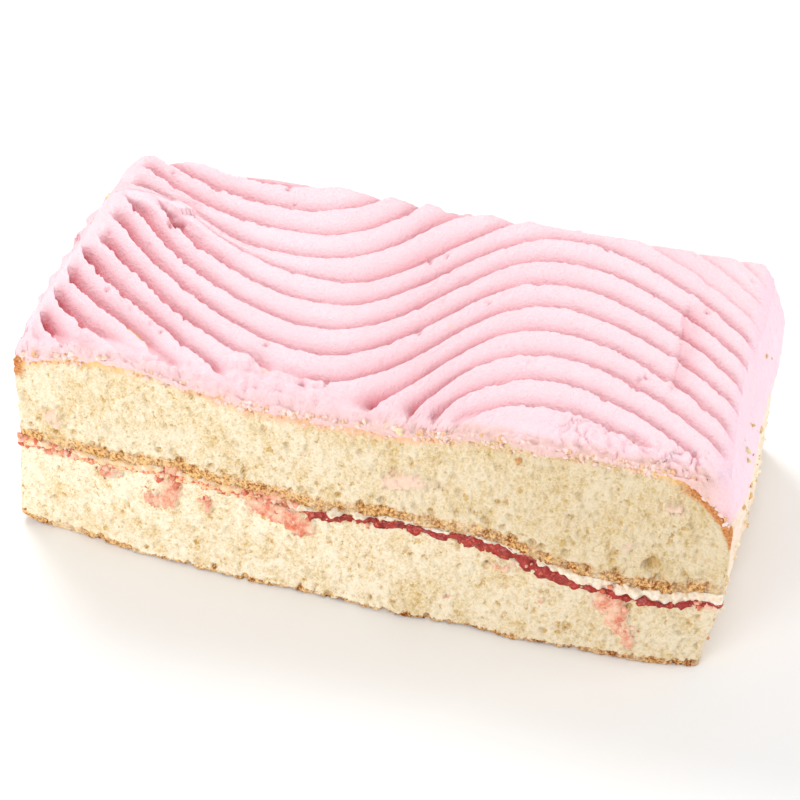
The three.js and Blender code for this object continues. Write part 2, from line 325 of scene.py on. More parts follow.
class Field:
    # A socket of a tree that takes part in plain sums.
    def __init__(self, tree, socket):
        self.tree = tree
        self.socket = socket

    def __add__(self, other):
        return calc(self.tree, "ADD", self, other)

    def __radd__(self, other):
        return calc(self.tree, "ADD", other, self)

    def __sub__(self, other):
        return calc(self.tree, "SUBTRACT", self, other)

    def __rsub__(self, other):
        return calc(self.tree, "SUBTRACT", other, self)

    def __mul__(self, other):
        return calc(self.tree, "MULTIPLY", self, other)

    def __rmul__(self, other):
        return calc(self.tree, "MULTIPLY", other, self)

    def __truediv__(self, other):
        return calc(self.tree, "DIVIDE", self, other)

    def __rtruediv__(self, other):
        return calc(self.tree, "DIVIDE", other, self)

    def __pow__(self, other):
        return calc(self.tree, "POWER", self, other)

    def __neg__(self):
        return calc(self.tree, "MULTIPLY", self, -1)


def plug(tree, value, socket):
    if isinstance(value, Field):
        tree.links.new(value.socket, socket)
    elif value is not None:
        socket.default_value = value


def calc(tree, operation, *values, clamp=False):
    node = tree.nodes.new("ShaderNodeMath")
    node.operation = operation
    node.use_clamp = clamp
    for socket, value in zip(node.inputs, values):
        plug(tree, value, socket)
    return Field(tree, node.outputs[0])


def least(a, b):
    return calc(a.tree, "MINIMUM", a, b)


def most(a, b):
    return calc(a.tree, "MAXIMUM", a, b)


def squeeze(value):
    return calc(value.tree, "ADD", value, 0, clamp=True)


def rise(value, start, over, curve="SMOOTHSTEP"):
    node = value.tree.nodes.new("ShaderNodeMapRange")
    node.interpolation_type = curve
    plug(value.tree, value, node.inputs["Value"])
    plug(value.tree, start, node.inputs["From Min"])
    plug(value.tree, start + over, node.inputs["From Max"])
    return Field(value.tree, node.outputs[0])

def fall(value, start, over):
    return 1 - rise(value, start, over)


def blend(a, b, share):
    return a + (b - a) * share


def hump(value, middle, width):
    away = (value - middle) / width
    return calc(value.tree, "EXPONENT", -(away * away))


def vectorOf(tree, x, y, z):
    node = tree.nodes.new("ShaderNodeCombineXYZ")
    for socket, value in zip(node.inputs, (x, y, z)):
        plug(tree, value, socket)
    return Field(tree, node.outputs[0])


def partsOf(vector):
    node = vector.tree.nodes.new("ShaderNodeSeparateXYZ")
    plug(vector.tree, vector, node.inputs[0])
    return [Field(vector.tree, socket) for socket in node.outputs]


def vectorMath(operation, *values, scale=None):
    tree = values[0].tree
    node = tree.nodes.new("ShaderNodeVectorMath")
    node.operation = operation
    for socket, value in zip(node.inputs, values):
        plug(tree, value, socket)
    if scale is not None:
        plug(tree, scale, node.inputs["Scale"])
    return Field(tree, node.outputs[0])


def shifted(vector, seed):
    # Another part of the same pattern for each seed.
    away = seed * 31.7
    shift = vectorOf(vector.tree, away, away, away) if isinstance(away, Field) else (away, away, away)
    return vectorMath("ADD", vector, shift)


def noise(vector, size, detail, roughness, seed, colour=False):
    # Noise about zero, with features of the size given in the vector's own unit.
    tree = vector.tree
    node = tree.nodes.new("ShaderNodeTexNoise")
    plug(tree, shifted(vector, seed), node.inputs["Vector"])
    plug(tree, 1 / size, node.inputs["Scale"])
    plug(tree, detail, node.inputs["Detail"])
    plug(tree, roughness, node.inputs["Roughness"])
    if colour:
        return vectorMath("SUBTRACT", Field(tree, node.outputs[1]), (0.5, 0.5, 0.5))
    return Field(tree, node.outputs[0]) - 0.5


def cells(vector, size, seed):
    # Distance to the nearest cell middle, in cell widths.
    tree = vector.tree
    node = tree.nodes.new("ShaderNodeTexVoronoi")
    plug(tree, shifted(vector, seed), node.inputs["Vector"])
    plug(tree, 1 / size, node.inputs["Scale"])
    return Field(tree, node.outputs["Distance"])


def newTree(name, inputs):
    # A Geometry Nodes tree with a geometry socket and one named input for each size.
    tree = bpy.data.node_groups.new(name, "GeometryNodeTree")
    tree.interface.new_socket("Geometry", in_out="INPUT", socket_type="NodeSocketGeometry")
    tree.interface.new_socket("Geometry", in_out="OUTPUT", socket_type="NodeSocketGeometry")
    kinds = {"Object": "NodeSocketObject", "Material": "NodeSocketMaterial", int: "NodeSocketInt"}
    for label, value in inputs.items():
        kind = kinds.get(label.split()[-1], kinds.get(type(value), "NodeSocketFloat"))
        tree.interface.new_socket(label, in_out="INPUT", socket_type=kind)
    source = tree.nodes.new("NodeGroupInput")
    sink = tree.nodes.new("NodeGroupOutput")
    sizes = {socket.name: Field(tree, socket) for socket in source.outputs if socket.name}
    return tree, sizes, sink.inputs[0]


def runTree(piece, tree, inputs):
    # Sets the inputs by their sockets' identifiers, then turns the result into a plain mesh.
    modifier = piece.modifiers.new(tree.name, "NODES")
    modifier.node_group = tree
    sockets = {item.name: item.identifier for item in tree.interface.items_tree if item.in_out == "INPUT"}
    for label, value in inputs.items():
        modifier[sockets[label]] = value
    bakePiece(piece)


def bakePiece(piece):
    bpy.context.view_layer.update()
    evaluated = piece.evaluated_get(bpy.context.evaluated_depsgraph_get())
    mesh = bpy.data.meshes.new_from_object(evaluated)
    piece.modifiers.clear()
    old = piece.data
    piece.data = mesh
    bpy.data.meshes.remove(old)
    mesh.name = piece.name


def positionOf(tree):
    # The place of a point in millimetres, and its three parts.
    node = tree.nodes.new("GeometryNodeInputPosition")
    place = vectorMath("SCALE", Field(tree, node.outputs[0]), scale=1 / mm)
    return place, *partsOf(place)


def geometryStep(tree, kind, geometry, **values):
    # A node fed with a geometry, or with None, and with values by their sockets' names.
    node = tree.nodes.new(kind)
    plug(tree, geometry, node.inputs[0])
    for label, value in values.items():
        plug(tree, value, node.inputs[label.replace("_", " ")])
    return Field(tree, node.outputs[0])


def storeValue(tree, geometry, label, value, domain="POINT"):
    node = tree.nodes.new("GeometryNodeStoreNamedAttribute")
    node.data_type = "FLOAT"
    node.domain = domain
    plug(tree, geometry, node.inputs["Geometry"])
    node.inputs["Name"].default_value = label
    plug(tree, value, node.inputs["Value"])
    return Field(tree, node.outputs[0])


def readValue(tree, label):
    node = tree.nodes.new("GeometryNodeInputNamedAttribute")
    node.data_type = "FLOAT"
    node.inputs["Name"].default_value = label
    return Field(tree, node.outputs["Attribute"])


def normalOf(tree):
    return Field(tree, tree.nodes.new("GeometryNodeInputNormal").outputs[0])


class Finish:
    # A material whose tree is written as sums over Object coordinates.
    def __init__(self, name, roughness, specular, subsurface, radius, depth):
        self.material = bpy.data.materials.new(name)
        self.material.use_nodes = True
        self.tree = self.material.node_tree
        self.shader = self.tree.nodes["Principled BSDF"]
        self.shader.inputs["Roughness"].default_value = roughness
        self.shader.inputs["Specular IOR Level"].default_value = specular
        self.shader.inputs["Subsurface Weight"].default_value = subsurface
        self.shader.inputs["Subsurface Radius"].default_value = radius
        self.shader.inputs["Subsurface Scale"].default_value = depth * mm
        coordinates = self.tree.nodes.new("ShaderNodeTexCoord")
        self.place = vectorMath("SCALE", Field(self.tree, coordinates.outputs["Object"]), scale=1 / mm)
        self.x, self.y, self.z = partsOf(self.place)

    def attribute(self, label):
        node = self.tree.nodes.new("ShaderNodeAttribute")
        node.attribute_name = label
        return Field(self.tree, node.outputs["Fac"])

    def paint(self, under, over, share):
        # One colour over another: each is a colour or the result of an earlier paint.
        node = self.tree.nodes.new("ShaderNodeMix")
        node.data_type = "RGBA"
        plug(self.tree, share, node.inputs[0])
        plug(self.tree, colourOf(under), node.inputs[6])
        plug(self.tree, colourOf(over), node.inputs[7])
        return Field(self.tree, node.outputs[2])

    def finish(self, colour, bump, bumpDepth):
        plug(self.tree, colour, self.shader.inputs["Base Color"])
        node = self.tree.nodes.new("ShaderNodeBump")
        node.inputs["Distance"].default_value = bumpDepth * mm
        plug(self.tree, bump, node.inputs["Height"])
        self.tree.links.new(node.outputs[0], self.shader.inputs["Normal"])
        return self.material


def colourOf(value):
    # Colours are given as the eye reads them, 0 to 255, and turned into light amounts.
    if isinstance(value, Field):
        return value
    shares = [part / 255 for part in value]
    linear = [s / 12.92 if s <= 0.04045 else ((s + 0.055) / 1.055) ** 2.4 for s in shares]
    return (*linear, 1.0)


icingLook = {
    "pink": (255, 219, 226),
    # painted shade: the deeper pink of the comb's grooves, where they lie in shade
    "grooveShadePink": (226, 122, 132),
    # the coats' pink with painted cool light: the tint a cool light from the right gives
    "coolLitCoatPink": (252, 216, 228),
    "coatCream": (254, 236, 210),
    "coatCrumb": (232, 192, 138),
    "marginPink": (253, 206, 204),
    "peach": (248, 206, 176),
    "crust": (206, 124, 66),
    "mixed": (236, 198, 188),
}


def icingMaterial():
    look = icingLook
    f = Finish("combedIcing", roughness=0.5, specular=0.4, subsurface=0.15, radius=(1, 0.35, 0.4), depth=0.9)
    hollow = f.attribute("hollow")
    coated = f.attribute("coat")
    margin = f.attribute("margin")
    broad = noise(f.place, 18, 2, 0.5, 3.1)
    grain = noise(f.place, 0.9, 3, 0.65, 5.0)
    crumbly = noise(f.place, 1.6, 3, 0.6, 9.0)
    # painted shade in the grooves: the pink deepens with the groove depth, with some random tone from the
    # broad and grain noises
    grooveShadeAndTone = squeeze(hollow ** 1.25 * 0.95 + broad * 0.2 + grain * 0.14)
    colour = f.paint(look["pink"], look["grooveShadePink"], grooveShadeAndTone)
    # the coats take their pink, tinted cooler as painted cool light
    colour = f.paint(colour, look["coolLitCoatPink"], coated)

    # the coats turn to cream and crumb lower down, and near the front cut
    low = fall(f.z + noise(f.place, 5, 4, 0.65, 8.0) * 30, 24, 10)
    nearFront = rise(-f.y + crumbly * 8, 24, 8) * fall(f.z + crumbly * 8, 45, 4)
    low = coated * most(low, nearFront)
    bare = f.paint(look["coatCream"], look["coatCrumb"], squeeze(0.1 + crumbly * 3))
    colour = f.paint(colour, bare, low * 0.9)

    # the margin along the cut: deeper pink, then icing and crumb mixed at its lower edge
    mixed = f.attribute("mixed") * (0.45 + 0.4 * rise(f.x, -14, 22))
    colour = f.paint(colour, look["marginPink"], margin * (0.55 + crumbly * 0.9))
    colour = f.paint(colour, f.paint(look["mixed"], look["coatCrumb"], squeeze(crumbly * 3 - 0.1)), mixed)
    patches = rise(crumbly * 0.8 + noise(f.place, 6, 2, 0.5, 9.0) * 0.9 + margin * 0.13, 0.3, 0.1)
    colour = f.paint(colour, look["peach"], patches * 0.7)
    specks = rise(crumbly + noise(f.place, 9, 1, 0.5, 4.0) * 0.9, 0.47, 0.05)
    colour = f.paint(colour, look["crust"], specks * 0.6)
    return f.finish(colour, grain, 0.6)


spongeLook = {
    "crumb": (253, 241, 216),
    # the crumb's deeper tone, also painted as shade in the pores
    "crumbDeep": (222, 187, 118),
    # painted shadow in the deepest pores
    "poreShadow": (186, 134, 58),
    "falloffShade": (196, 170, 122),     # painted shade: darker towards the right end, where less light falls, and all over the upper layer
    "crust": (244, 198, 132),
    "crustDark": (142, 70, 14),
    "cornerCrust": (190, 96, 44),
    "peach": (245, 188, 152),
    "stainPale": (252, 217, 196),
    "stain": (252, 206, 178),
    "stainDark": (226, 118, 86),
}

def spongeMaterial(name, crustHeight, lipHeight, peachDepth, darker):
    look = spongeLook
    f = Finish(name, roughness=0.85, specular=0.2, subsurface=0.08, radius=(1, 0.6, 0.35), depth=0.5)
    pore = f.attribute("pore")
    above = f.attribute("aboveFloor")
    below = f.attribute("belowRoof")
    stain = f.attribute("stain")
    fine = noise(f.place, 0.55, 3, 0.65, 2.0)
    broad = noise(vectorMath("MULTIPLY", f.place, (1, 1, 0.55)), 5.5, 3, 0.55, 6.0)
    toRight = rise(f.x, -40, 110)
    wander = vectorMath("SCALE", noise(f.place, 1.3, 2, 0.6, 12.0, colour=True), scale=2.4)
    upright = vectorMath("MULTIPLY", vectorMath("ADD", f.place, wander), (1, 1, 0.75))
    tiny = rise(0.36 - cells(upright, 1.25, 3.0), 0, 0.2)
    tiny = tiny * rise(noise(f.place, 3.2, 2, 0.5, 13.0), -0.14, 0.2)
    wide = rise(0.3 - cells(upright, 2.9, 6.0), 0, 0.12)
    wide = wide * rise(noise(f.place, 6, 1, 0.5, 14.0), -0.04, 0.16)
    # painted shade in the pores: the pore depth and the small cells darken the crumb, with random tone from
    # the fine and broad noises
    shade = squeeze(pore * 0.9 - 0.04 + fine * 2.3 + broad * 1.6 + 0.5 * tiny + 0.6 * wide)
    colour = f.paint(look["crumb"], look["crumbDeep"], shade)
    # painted shadow in the deepest pores and cells
    holes = squeeze(pore * 1.9 - 1.1 + fine * 0.8 + tiny * 0.45 + wide * 0.7)
    colour = f.paint(colour, look["poreShadow"], holes)
    # painted shade: darker towards the right, where less light falls, and all over the upper layer by darker
    colour = f.paint(colour, look["falloffShade"], toRight * 0.28 + darker)

    # the baked crust along the layer's foot, ragged and mottled
    ragged = noise(f.place, 1.5, 4, 0.7, 4.0) * 3.4
    lips = lipsAt(f.x) * lipHeight
    crust = fall(above + ragged * (1 - 0.5 * lips) - pore, crustHeight * 0.65 + lips, crustHeight * 0.4)
    # the crust is darker in the pores, as painted shade, and darker towards the right
    mottled = squeeze(0.16 + noise(f.place, 0.8, 3, 0.7, 14.0) * 5.0 + pore * 0.6 + toRight * 0.25)
    uneven = squeeze(0.85 + noise(vectorMath("MULTIPLY", f.place, (1, 1, 0)), 4, 3, 0.6, 22.0) * 3)
    colour = f.paint(colour, f.paint(look["crust"], look["crustDark"], mottled), crust * uneven)

    # the peach tinge under the icing, and the browned top corners at both ends
    if peachDepth:
        away = below + noise(f.place, 2.6, 4, 0.65, 5.0) * 6
        middle = rise(f.x, -52, 20) * fall(f.x, 12, 25)
        peach = fall(away, peachDepth * 0.2, peachDepth) * (0.2 + 0.6 * middle)
        colour = f.paint(colour, look["peach"], peach)
        corner = fall(away, 0.4, 2.4) * most(fall(f.x, -62, 16), rise(f.x, 60, 10))
        colour = f.paint(colour, look["crust"], corner * 0.9)
        atCorner = most(rise(f.x, 73, 6), rise(-f.x, 82, 2)) * fall(away * 0.6 + below * 0.4, 3.4, 2.4)
        browned = f.paint(look["crust"], look["cornerCrust"], squeeze(0.7 + fine * 2))
        colour = f.paint(colour, browned, atCorner)

    # jam that soaked in: deep at the filling, only pink icing higher up
    soaked = fall(f.z, 32, 3)
    colour = f.paint(colour, f.paint(look["stainPale"], look["stain"], soaked), stain * 0.9)
    dark = 0.35 + fine * 1.6 + noise(f.place, 2.4, 2, 0.5, 7.0) * 2.6
    colour = f.paint(colour, look["stainDark"], squeeze(stain * dark * soaked))
    return f.finish(colour, fine - tiny * 0.25 - wide * 0.3, 0.32)


def lipsAt(x):
    # The lower sponge's edge is smooth at its left and right thirds.
    return most(fall(x, -60, 4), rise(x, 56, 4))


fillingLook = {
    "jam": (186, 46, 34),
    "jamDark": (118, 12, 12),
    "jamPale": (232, 120, 84),
    "soaked": (252, 212, 164),   # crumb with a little jam in it, at the left end
    "cream": (252, 240, 222),
    "creamShade": (228, 198, 158),
    "creamPink": (242, 190, 168),
}


def jamMaterial():
    look = fillingLook
    f = Finish("jam", roughness=0.25, specular=0.5, subsurface=0.2, radius=(1, 0.1, 0.08), depth=1.0)
    pale = f.attribute("pale")
    lumps = noise(f.place, 1.8, 3, 0.6, 2.0)
    bits = noise(f.place, 1.1, 3, 0.65, 5.0)
    colour = f.paint(look["jam"], look["jamDark"], squeeze(0.4 + lumps * 2.8))
    colour = f.paint(colour, look["jamPale"], squeeze(pale * (1 + lumps * 3) + rise(bits, 0.06, 0.12) * 0.6))
    colour = f.paint(colour, look["soaked"], pale * rise(bits + lumps * 0.6, -0.1, 0.16))
    return f.finish(colour, lumps + bits * 0.5, 0.5)


def creamMaterial():
    look = fillingLook
    f = Finish("cream", roughness=0.45, specular=0.4, subsurface=0.3, radius=(1, 0.7, 0.5), depth=1.0)
    pale = f.attribute("pale")
    lumps = noise(f.place, 1.6, 3, 0.6, 2.0)
    bits = noise(f.place, 1.1, 3, 0.65, 5.0)
    colour = f.paint(look["cream"], look["creamShade"], squeeze(0.3 + lumps * 2.8))
    colour = f.paint(colour, look["creamPink"], squeeze(pale * 0.4 + bits * 2 * (0.5 + pale)))
    colour = f.paint(colour, look["soaked"], pale * rise(bits + lumps * 0.6, -0.12, 0.16))
    return f.finish(colour, lumps + bits * 0.5, 0.5)


combMarks = {
    "Reach": 96.0,           # half length of the sheet before it is trimmed
    "Columns": 350,
    "First Line": -5.0,
    "Lines": 17.0,
    "Rows Per Line": 18.0,
    "Pitch": 8.9,
    "Skew": 1.05,
    "Trough X": -19.7,
    "Trough Y": 5.7,
    "Crest X": 38.3,
    "Wave Rise": 41.4,
    "Left Rise": 34.2,
    "Right Fall": 30.1,
    "Left Fan": 1.1,
    "Line Shift": -2.2,
    "Groove Left": 4.7,
    "Groove Middle": 3.0,
    "Groove Right": 3.3,
    "Groove Foot": 0.95,
    "Groove Steep": 1.1,
    "Lip Jag": 2.6,
    "Grain": 0.55,
    "Margin Lumps": 3.6,
    "Swirl Folds": 1.25,
    "Deck Height": 60.4,
    "Sheet Depth": 66.0,
    "Seed": 4.0,
}


# The last sweep bends in powers at both ends, and its lines lag and open into a fan
sweepBend = {"leftSpan": 60, "leftPower": 1.6, "rightSpan": 50, "rightPower": 1.64,
             "lag": 0.16, "lagLess": 0.3, "fan": 0.5, "fanLine": 2.3}

# What shows of an earlier sweep behind the seam, at the back left
firstSweep = {
    "troughX": -34,
    "troughY": 13,
    "skew": 4,
    "leftRise": 17.4,
    "leftSpan": 44,
    "leftPower": 1.86,
    "rightRise": 15,
    "rightSpan": 28.8,
    "rightPower": 2.8,
    "seamRise": 14.5,
    "seamFrom": 38,
    "seamOver": 38,
    "hiddenFrom": -5,       # the last sweep has gone over it from here on
    "hiddenOver": 17,
}

# Where the hand paused, the middle teeth slipped back a little
pause = {"x": 65.2, "over": 1.0, "slip": 1.0, "fromLine": 0.5, "fromOver": 1, "toLine": 4.5, "toOver": 2,
         "fadeX": 68, "fade": 10}

# Where the comb goes in and out, line 0 and line 1 going in later, and the margin left along the front
combEnds = {
    "startX": -80.8,
    "startFront": 3.4,
    "startLine0": 30,
    "startLine1": 11.3,
    "endX": 81.2,
    "endOver": 3.6,
    "marginY": -35.2,
    "marginDip": 5.0,
    "marginDipX": -22,
    "marginDipWidth": 13,
    "marginJag": 3.5,
}

# The flat of the top falls away at its edges
deckEdges = {
    "frontY": -29.6,
    "frontOver": 9,
    "frontMost": 1.1,
    "frontDrop": 5.0,
    "frontDropLess": 4.2,   # less over the sponge's humps
    "backY": 40.4,
    "backOver": 2.4,
    "backDrop": 2.2,
    "endX": 80,
    "endOver": 6,
    "endDrop": 3.5,
    "most": 1.2,
}

# Torn flaps of icing: along, across, half width, half depth, height
tornPieces = [
    (-65.0, 21.0, 4.8, 2.0, 1.7),
    (-64.0, 15.6, 2.4, 2.6, -1.6),
    (-32.0, -30.2, 4.4, 2.0, 1.2),
    (-71.0, -37.0, 2.4, 1.6, 1.4),
    (-48.0, -36.5, 5, 1.5, 0.9),
]


def lastLine(line, x, sizes):
    # The y of a line of the last sweep.
    bend = sweepBend
    lag = (bend["lag"] * line * line - bend["lagLess"]) * rise(x, -32, 20) * fall(x, 5, 20)
    along = x - sizes["Skew"] * (line - 3) - lag
    trough = sizes["Trough X"]
    crest = sizes["Crest X"]
    left = sizes["Left Rise"] * (most(trough - along, 0) / bend["leftSpan"]) ** bend["leftPower"]
    middle = sizes["Wave Rise"] * rise(along, trough, crest - trough, "SMOOTHERSTEP")
    right = sizes["Right Fall"] * (most(along - crest, 0) / bend["rightSpan"]) ** bend["rightPower"]
    fan = bend["fan"] * (line - bend["fanLine"]) * rise(-x, 24, 14) * fall(-x, 55, 20) + rise(-x, 55, 20)
    return sizes["Trough Y"] + sizes["Line Shift"] - sizes["Pitch"] * line + left + middle - right + fan


def combLine(n, x, sizes):
    # The y of comb line n at x. The lines before 0 are what shows of the earlier sweep.
    first = firstSweep
    back = -1 - n
    along = x + back * first["skew"]
    start = first["troughY"] + sizes["Line Shift"]

    def climb(x):
        share = most(x - first["troughX"], 0) / first["rightSpan"]
        return first["rightRise"] * share ** first["rightPower"]

    early = start + sizes["Pitch"] * back
    left = first["leftRise"] * (most(first["troughX"] - along, 0) / first["leftSpan"]) ** first["leftPower"]
    early = early + left + climb(along)
    seam = start + first["seamRise"] * rise(-x, first["seamFrom"], first["seamOver"]) + climb(x)
    hidden = rise(x, first["hiddenFrom"], first["hiddenOver"])
    last = lastLine(n, x, sizes)
    seam = blend(seam, lastLine(calc(x.tree, "ADD", -1, 0), x, sizes), hidden)
    front = least(last, seam - 1.2 * (n + 1))
    fan = sizes["Left Fan"] * (n - 3.2) * rise(-x, 60, 24)
    curl = 0.12 * most(-79 - x, 0) ** 2
    slip = pause["slip"] * rise(x, pause["x"], pause["over"]) * rise(n, pause["fromLine"], pause["fromOver"])
    slip = slip * fall(n, pause["toLine"], pause["toOver"]) * fall(x, pause["fadeX"], pause["fade"])
    front = front - fan + curl + slip
    behind = blend(early, last, hidden)
    isFront = calc(x.tree, "GREATER_THAN", n, -0.5)
    isSeam = calc(x.tree, "GREATER_THAN", n, -1.5) - isFront
    return blend(blend(behind, seam, isSeam), front, isFront)


def bumpsAlong(x):
    # The front's two humps, as in frontBumps.
    right = rise(x, humps["rightFrom"], humps["rightOver"]) * fall(x, humps["rightTo"], humps["rightFade"])
    return hump(x, humps["leftX"], humps["leftWidth"]) + right


def spongeUnder(x, y):
    # How high the upper sponge stands under the icing.
    bump = layers["spongeBump"] * bumpsAlong(x) * rise(-y, humps["icingFrom"], humps["acrossOver"])
    return layers["spongeTop"] + bump


def icingDeck(x, y, sizes):
    edge = deckEdges
    toFront = least(most((edge["frontY"] - y) / edge["frontOver"], 0), edge["frontMost"])
    drop = (edge["frontDrop"] - edge["frontDropLess"] * bumpsAlong(x)) * toFront ** 2
    toBack = least(most((y - edge["backY"]) / edge["backOver"], 0), edge["most"])
    right = least(most((x - edge["endX"]) / edge["endOver"], 0), edge["most"])
    left = least(most((-edge["endX"] - x) / edge["endOver"], 0), edge["most"])
    back = edge["backDrop"] * toBack ** 2
    return sizes["Deck Height"] - drop - back - edge["endDrop"] * (right ** 2 + left ** 2)


def combedSheet(tree, sizes):
    # A sheet whose rows follow the comb lines, closest together at the lips, in their relief.
    grid = geometryStep(
        tree, "GeometryNodeMeshGrid", None, Size_X=sizes["Reach"] * 2 * mm, Size_Y=sizes["Lines"] * mm,
        Vertices_X=sizes["Columns"], Vertices_Y=sizes["Lines"] * sizes["Rows Per Line"] + 1,
    )
    x, across = positionOf(tree)[1:3]
    row = sizes["First Line"] + sizes["Lines"] / 2 - across
    n = calc(tree, "FLOOR", row + 0.001)
    even = row - n
    turn = 2 * math.pi
    t = even - 0.6 / turn * calc(tree, "SINE", even * turn)
    line = combLine(n, x, sizes)
    spacing = line - combLine(n + 1, x, sizes)
    nearest = calc(tree, "ROUND", row)
    seed = sizes["Seed"]
    onLine = vectorOf(tree, x, nearest * 37, 0)
    atLip = most(rise(t, 0.6, 0.34), fall(t, 0.0, 0.3))
    ragged = 0.55 + 0.6 * rise(-x, 30, 25) + 0.25 * rise(x, 0, 30)
    jag = noise(onLine, 1.5, 3, 0.65, seed) * sizes["Lip Jag"] * ragged + noise(onLine, 9, 2, 0.5, seed) * 1.6
    jag = jag - rise(noise(onLine, 4, 2, 0.5, 21.0), 0.12, 0.05) * ragged * 0.8
    y = line - t * spacing + jag * atLip * rise(spacing, 1.0, 5.0)
    flatPlace = vectorOf(tree, x, y, 0)

    # depth of the grooves along the sweep, and where they start and fade out
    ends = combEnds
    steep = hump(x, 6, 17)
    middle = sizes["Groove Middle"]
    depth = middle + (sizes["Groove Left"] - middle) * rise(-x, 25, 50)
    depth = depth + (sizes["Groove Right"] - middle) * rise(x, sizes["Trough X"], 60)
    depth = depth + sizes["Groove Steep"] * steep
    depth = least(depth * (1 + noise(onLine, 14, 2, 0.5, 7.0) * 0.5), spacing * 0.5)
    m = n + t
    start = ends["startX"] - ends["startFront"] * rise(m, 3.8, 1.4)
    start = start + ends["startLine1"] * hump(m, 1, 0.45) + ends["startLine0"] * hump(m, 0, 0.4)
    marginY = ends["marginY"] + ends["marginDip"] * hump(x, ends["marginDipX"], ends["marginDipWidth"])
    marginY = marginY + noise(flatPlace, 6, 2, 0.5, 2.0) * ends["marginJag"]
    shown = rise(x, start - 0.8, 3.4) * fall(x, ends["endX"], ends["endOver"]) * rise(y - marginY, -1.4, 3.0)
    shown = shown * (1 - rise(x, 75, 4) * rise(-y, 29, 4))
    behind = calc(tree, "LESS_THAN", n, -0.5) * rise(x, 36, 10)
    shown = shown * (1 - 0.72 * behind) * fall(m, 8.3, 0.4)
    pit = 1 + 0.3 * hump(x, start + 4, 3.5)
    pit = pit + 0.5 * hump(y, marginY + 2.4, 1.6) * rise(x, -5, 6) * fall(x, 26, 6)
    foot = sizes["Groove Foot"]
    curve = 3.0 - 0.9 * steep - 1.3 * rise(-x, 30, 30)
    roll = least((t / foot) ** curve, 1) * (1 - rise(t, foot, 1 - foot, "LINEAR"))
    lip = 0.3 * fall(t, 0.0, 0.2) + 0.8 * atLip * noise(onLine, 1.8, 3, 0.6, 11.0)

    # soft drag marks along the comb, slow swells and small pits
    drag = noise(vectorOf(tree, x / 9, row * 8.9, 0), 0.9, 3, 0.55, 6.0) * 0.25
    broad = noise(flatPlace, 22, 2, 0.5, 1.0) + noise(flatPlace, 1.1, 2, 0.6, 12.0) * sizes["Grain"]
    pitted = rise(noise(flatPlace, 10, 1, 0.5, 4.0), 0.02, 0.1)
    broad = broad - 0.8 * rise(0.2 - cells(flatPlace, 4.5, 3.0), 0, 0.1) * pitted
    z = icingDeck(x, y, sizes) - (depth * roll * pit - lip) * shown + drag + broad
    sponge = spongeUnder(x, y)
    sponge = sponge - 30 * rise(x, 72, 10) - 30 * rise(-x, 78, 6)
    z = most(z, sponge + 0.9)

    # the step where the hand paused, the messy margin and the small folds at the front right
    markX = 66.4 - 0.06 * (y - 4) + noise(flatPlace, 3, 2, 0.5, 31.0) * 2.5
    stepDown = rise(x, markX - 0.4, 0.8) * fall(x, markX + 0.6, 8) * rise(y, -14, 4) * fall(y, 18, 5)
    messy = fall(y - marginY + noise(flatPlace, 5, 2, 0.5, 3.0) * 5, -2.0, 3.0)
    swirl = rise(x, 40, 9) * fall(x, 77, 5) * rise(-y - 0.12 * (x - 45), 24.5, 4)
    bend = noise(flatPlace, 7, 1, 0.5, 15.0) * 18
    curls = calc(tree, "SINE", (0.95 * x - 0.35 * y + bend) * (turn / 3.6))
    strokes = noise(vectorOf(tree, x / 2.0 + y * 0.4, y, 0), 2.4, 2, 0.5, 5.0)
    rough = noise(flatPlace, 1.7, 2, 0.55, 5.0)
    lumps = (strokes + 0.6 * rough) * messy * sizes["Margin Lumps"] * (1 + 0.5 * rise(-x, 45, 15))
    z = z - stepDown * 0.9 + lumps
    folds = (curls * 0.35 + noise(flatPlace, 4, 2, 0.5, 8.0) * 1.6) * sizes["Swirl Folds"]
    z = z + swirl * (folds + rough * 0.9)
    for along, across, wide, deep, high in tornPieces:
        shape = hump(x, along, wide) * hump(y, across, deep) + noise(flatPlace, 1.5, 3, 0.6, 17.0) * 0.7
        z = z + rise(shape, 0.42, 0.14) * high
    corner = rise(x, 73, 4) * rise(-y, 24, 6)
    z = z + corner * (noise(flatPlace, 1.8, 3, 0.6, 19.0) * 1.8 + noise(flatPlace, 5, 2, 0.5, 23.0) * 2.0)
    z = least(most(z, sponge + 0.3 + rough * 0.5), sizes["Deck Height"] + 1.4)
    combed = vectorOf(tree, (x + slab["shiftX"]) * mm, y * mm, z * mm)
    return geometryStep(tree, "GeometryNodeSetPosition", grid, Position=combed)


def trimSheet(tree, sheet, sizes):
    # The sheet gets a thickness, then is trimmed to the slab and hollowed over the sponge.
    down = vectorOf(tree, 0, 0, -1)
    walls = geometryStep(
        tree, "GeometryNodeExtrudeMesh", sheet,
        Offset=down, Offset_Scale=sizes["Sheet Depth"] * mm, Individual=False,
    )
    inner = geometryStep(tree, "GeometryNodeFlipFaces", walls)
    joined = tree.nodes.new("GeometryNodeJoinGeometry")
    plug(tree, sheet, joined.inputs[0])
    plug(tree, inner, joined.inputs[0])
    closed = Field(tree, joined.outputs[0])
    cut = geometryStep(tree, "GeometryNodeMergeByDistance", closed, Distance=0.002 * mm)
    for operation, label in (("INTERSECT", "Outline Object"), ("DIFFERENCE", "Core Object")):
        tool = tree.nodes.new("GeometryNodeObjectInfo")
        plug(tree, sizes[label], tool.inputs["Object"])
        boolean = tree.nodes.new("GeometryNodeMeshBoolean")
        boolean.operation = operation
        boolean.solver = "MANIFOLD"
        plug(tree, cut, boolean.inputs["Mesh 2" if operation == "INTERSECT" else "Mesh 1"])
        plug(tree, Field(tree, tool.outputs["Geometry"]), boolean.inputs["Mesh 2"])
        cut = Field(tree, boolean.outputs["Mesh"])
    return cut


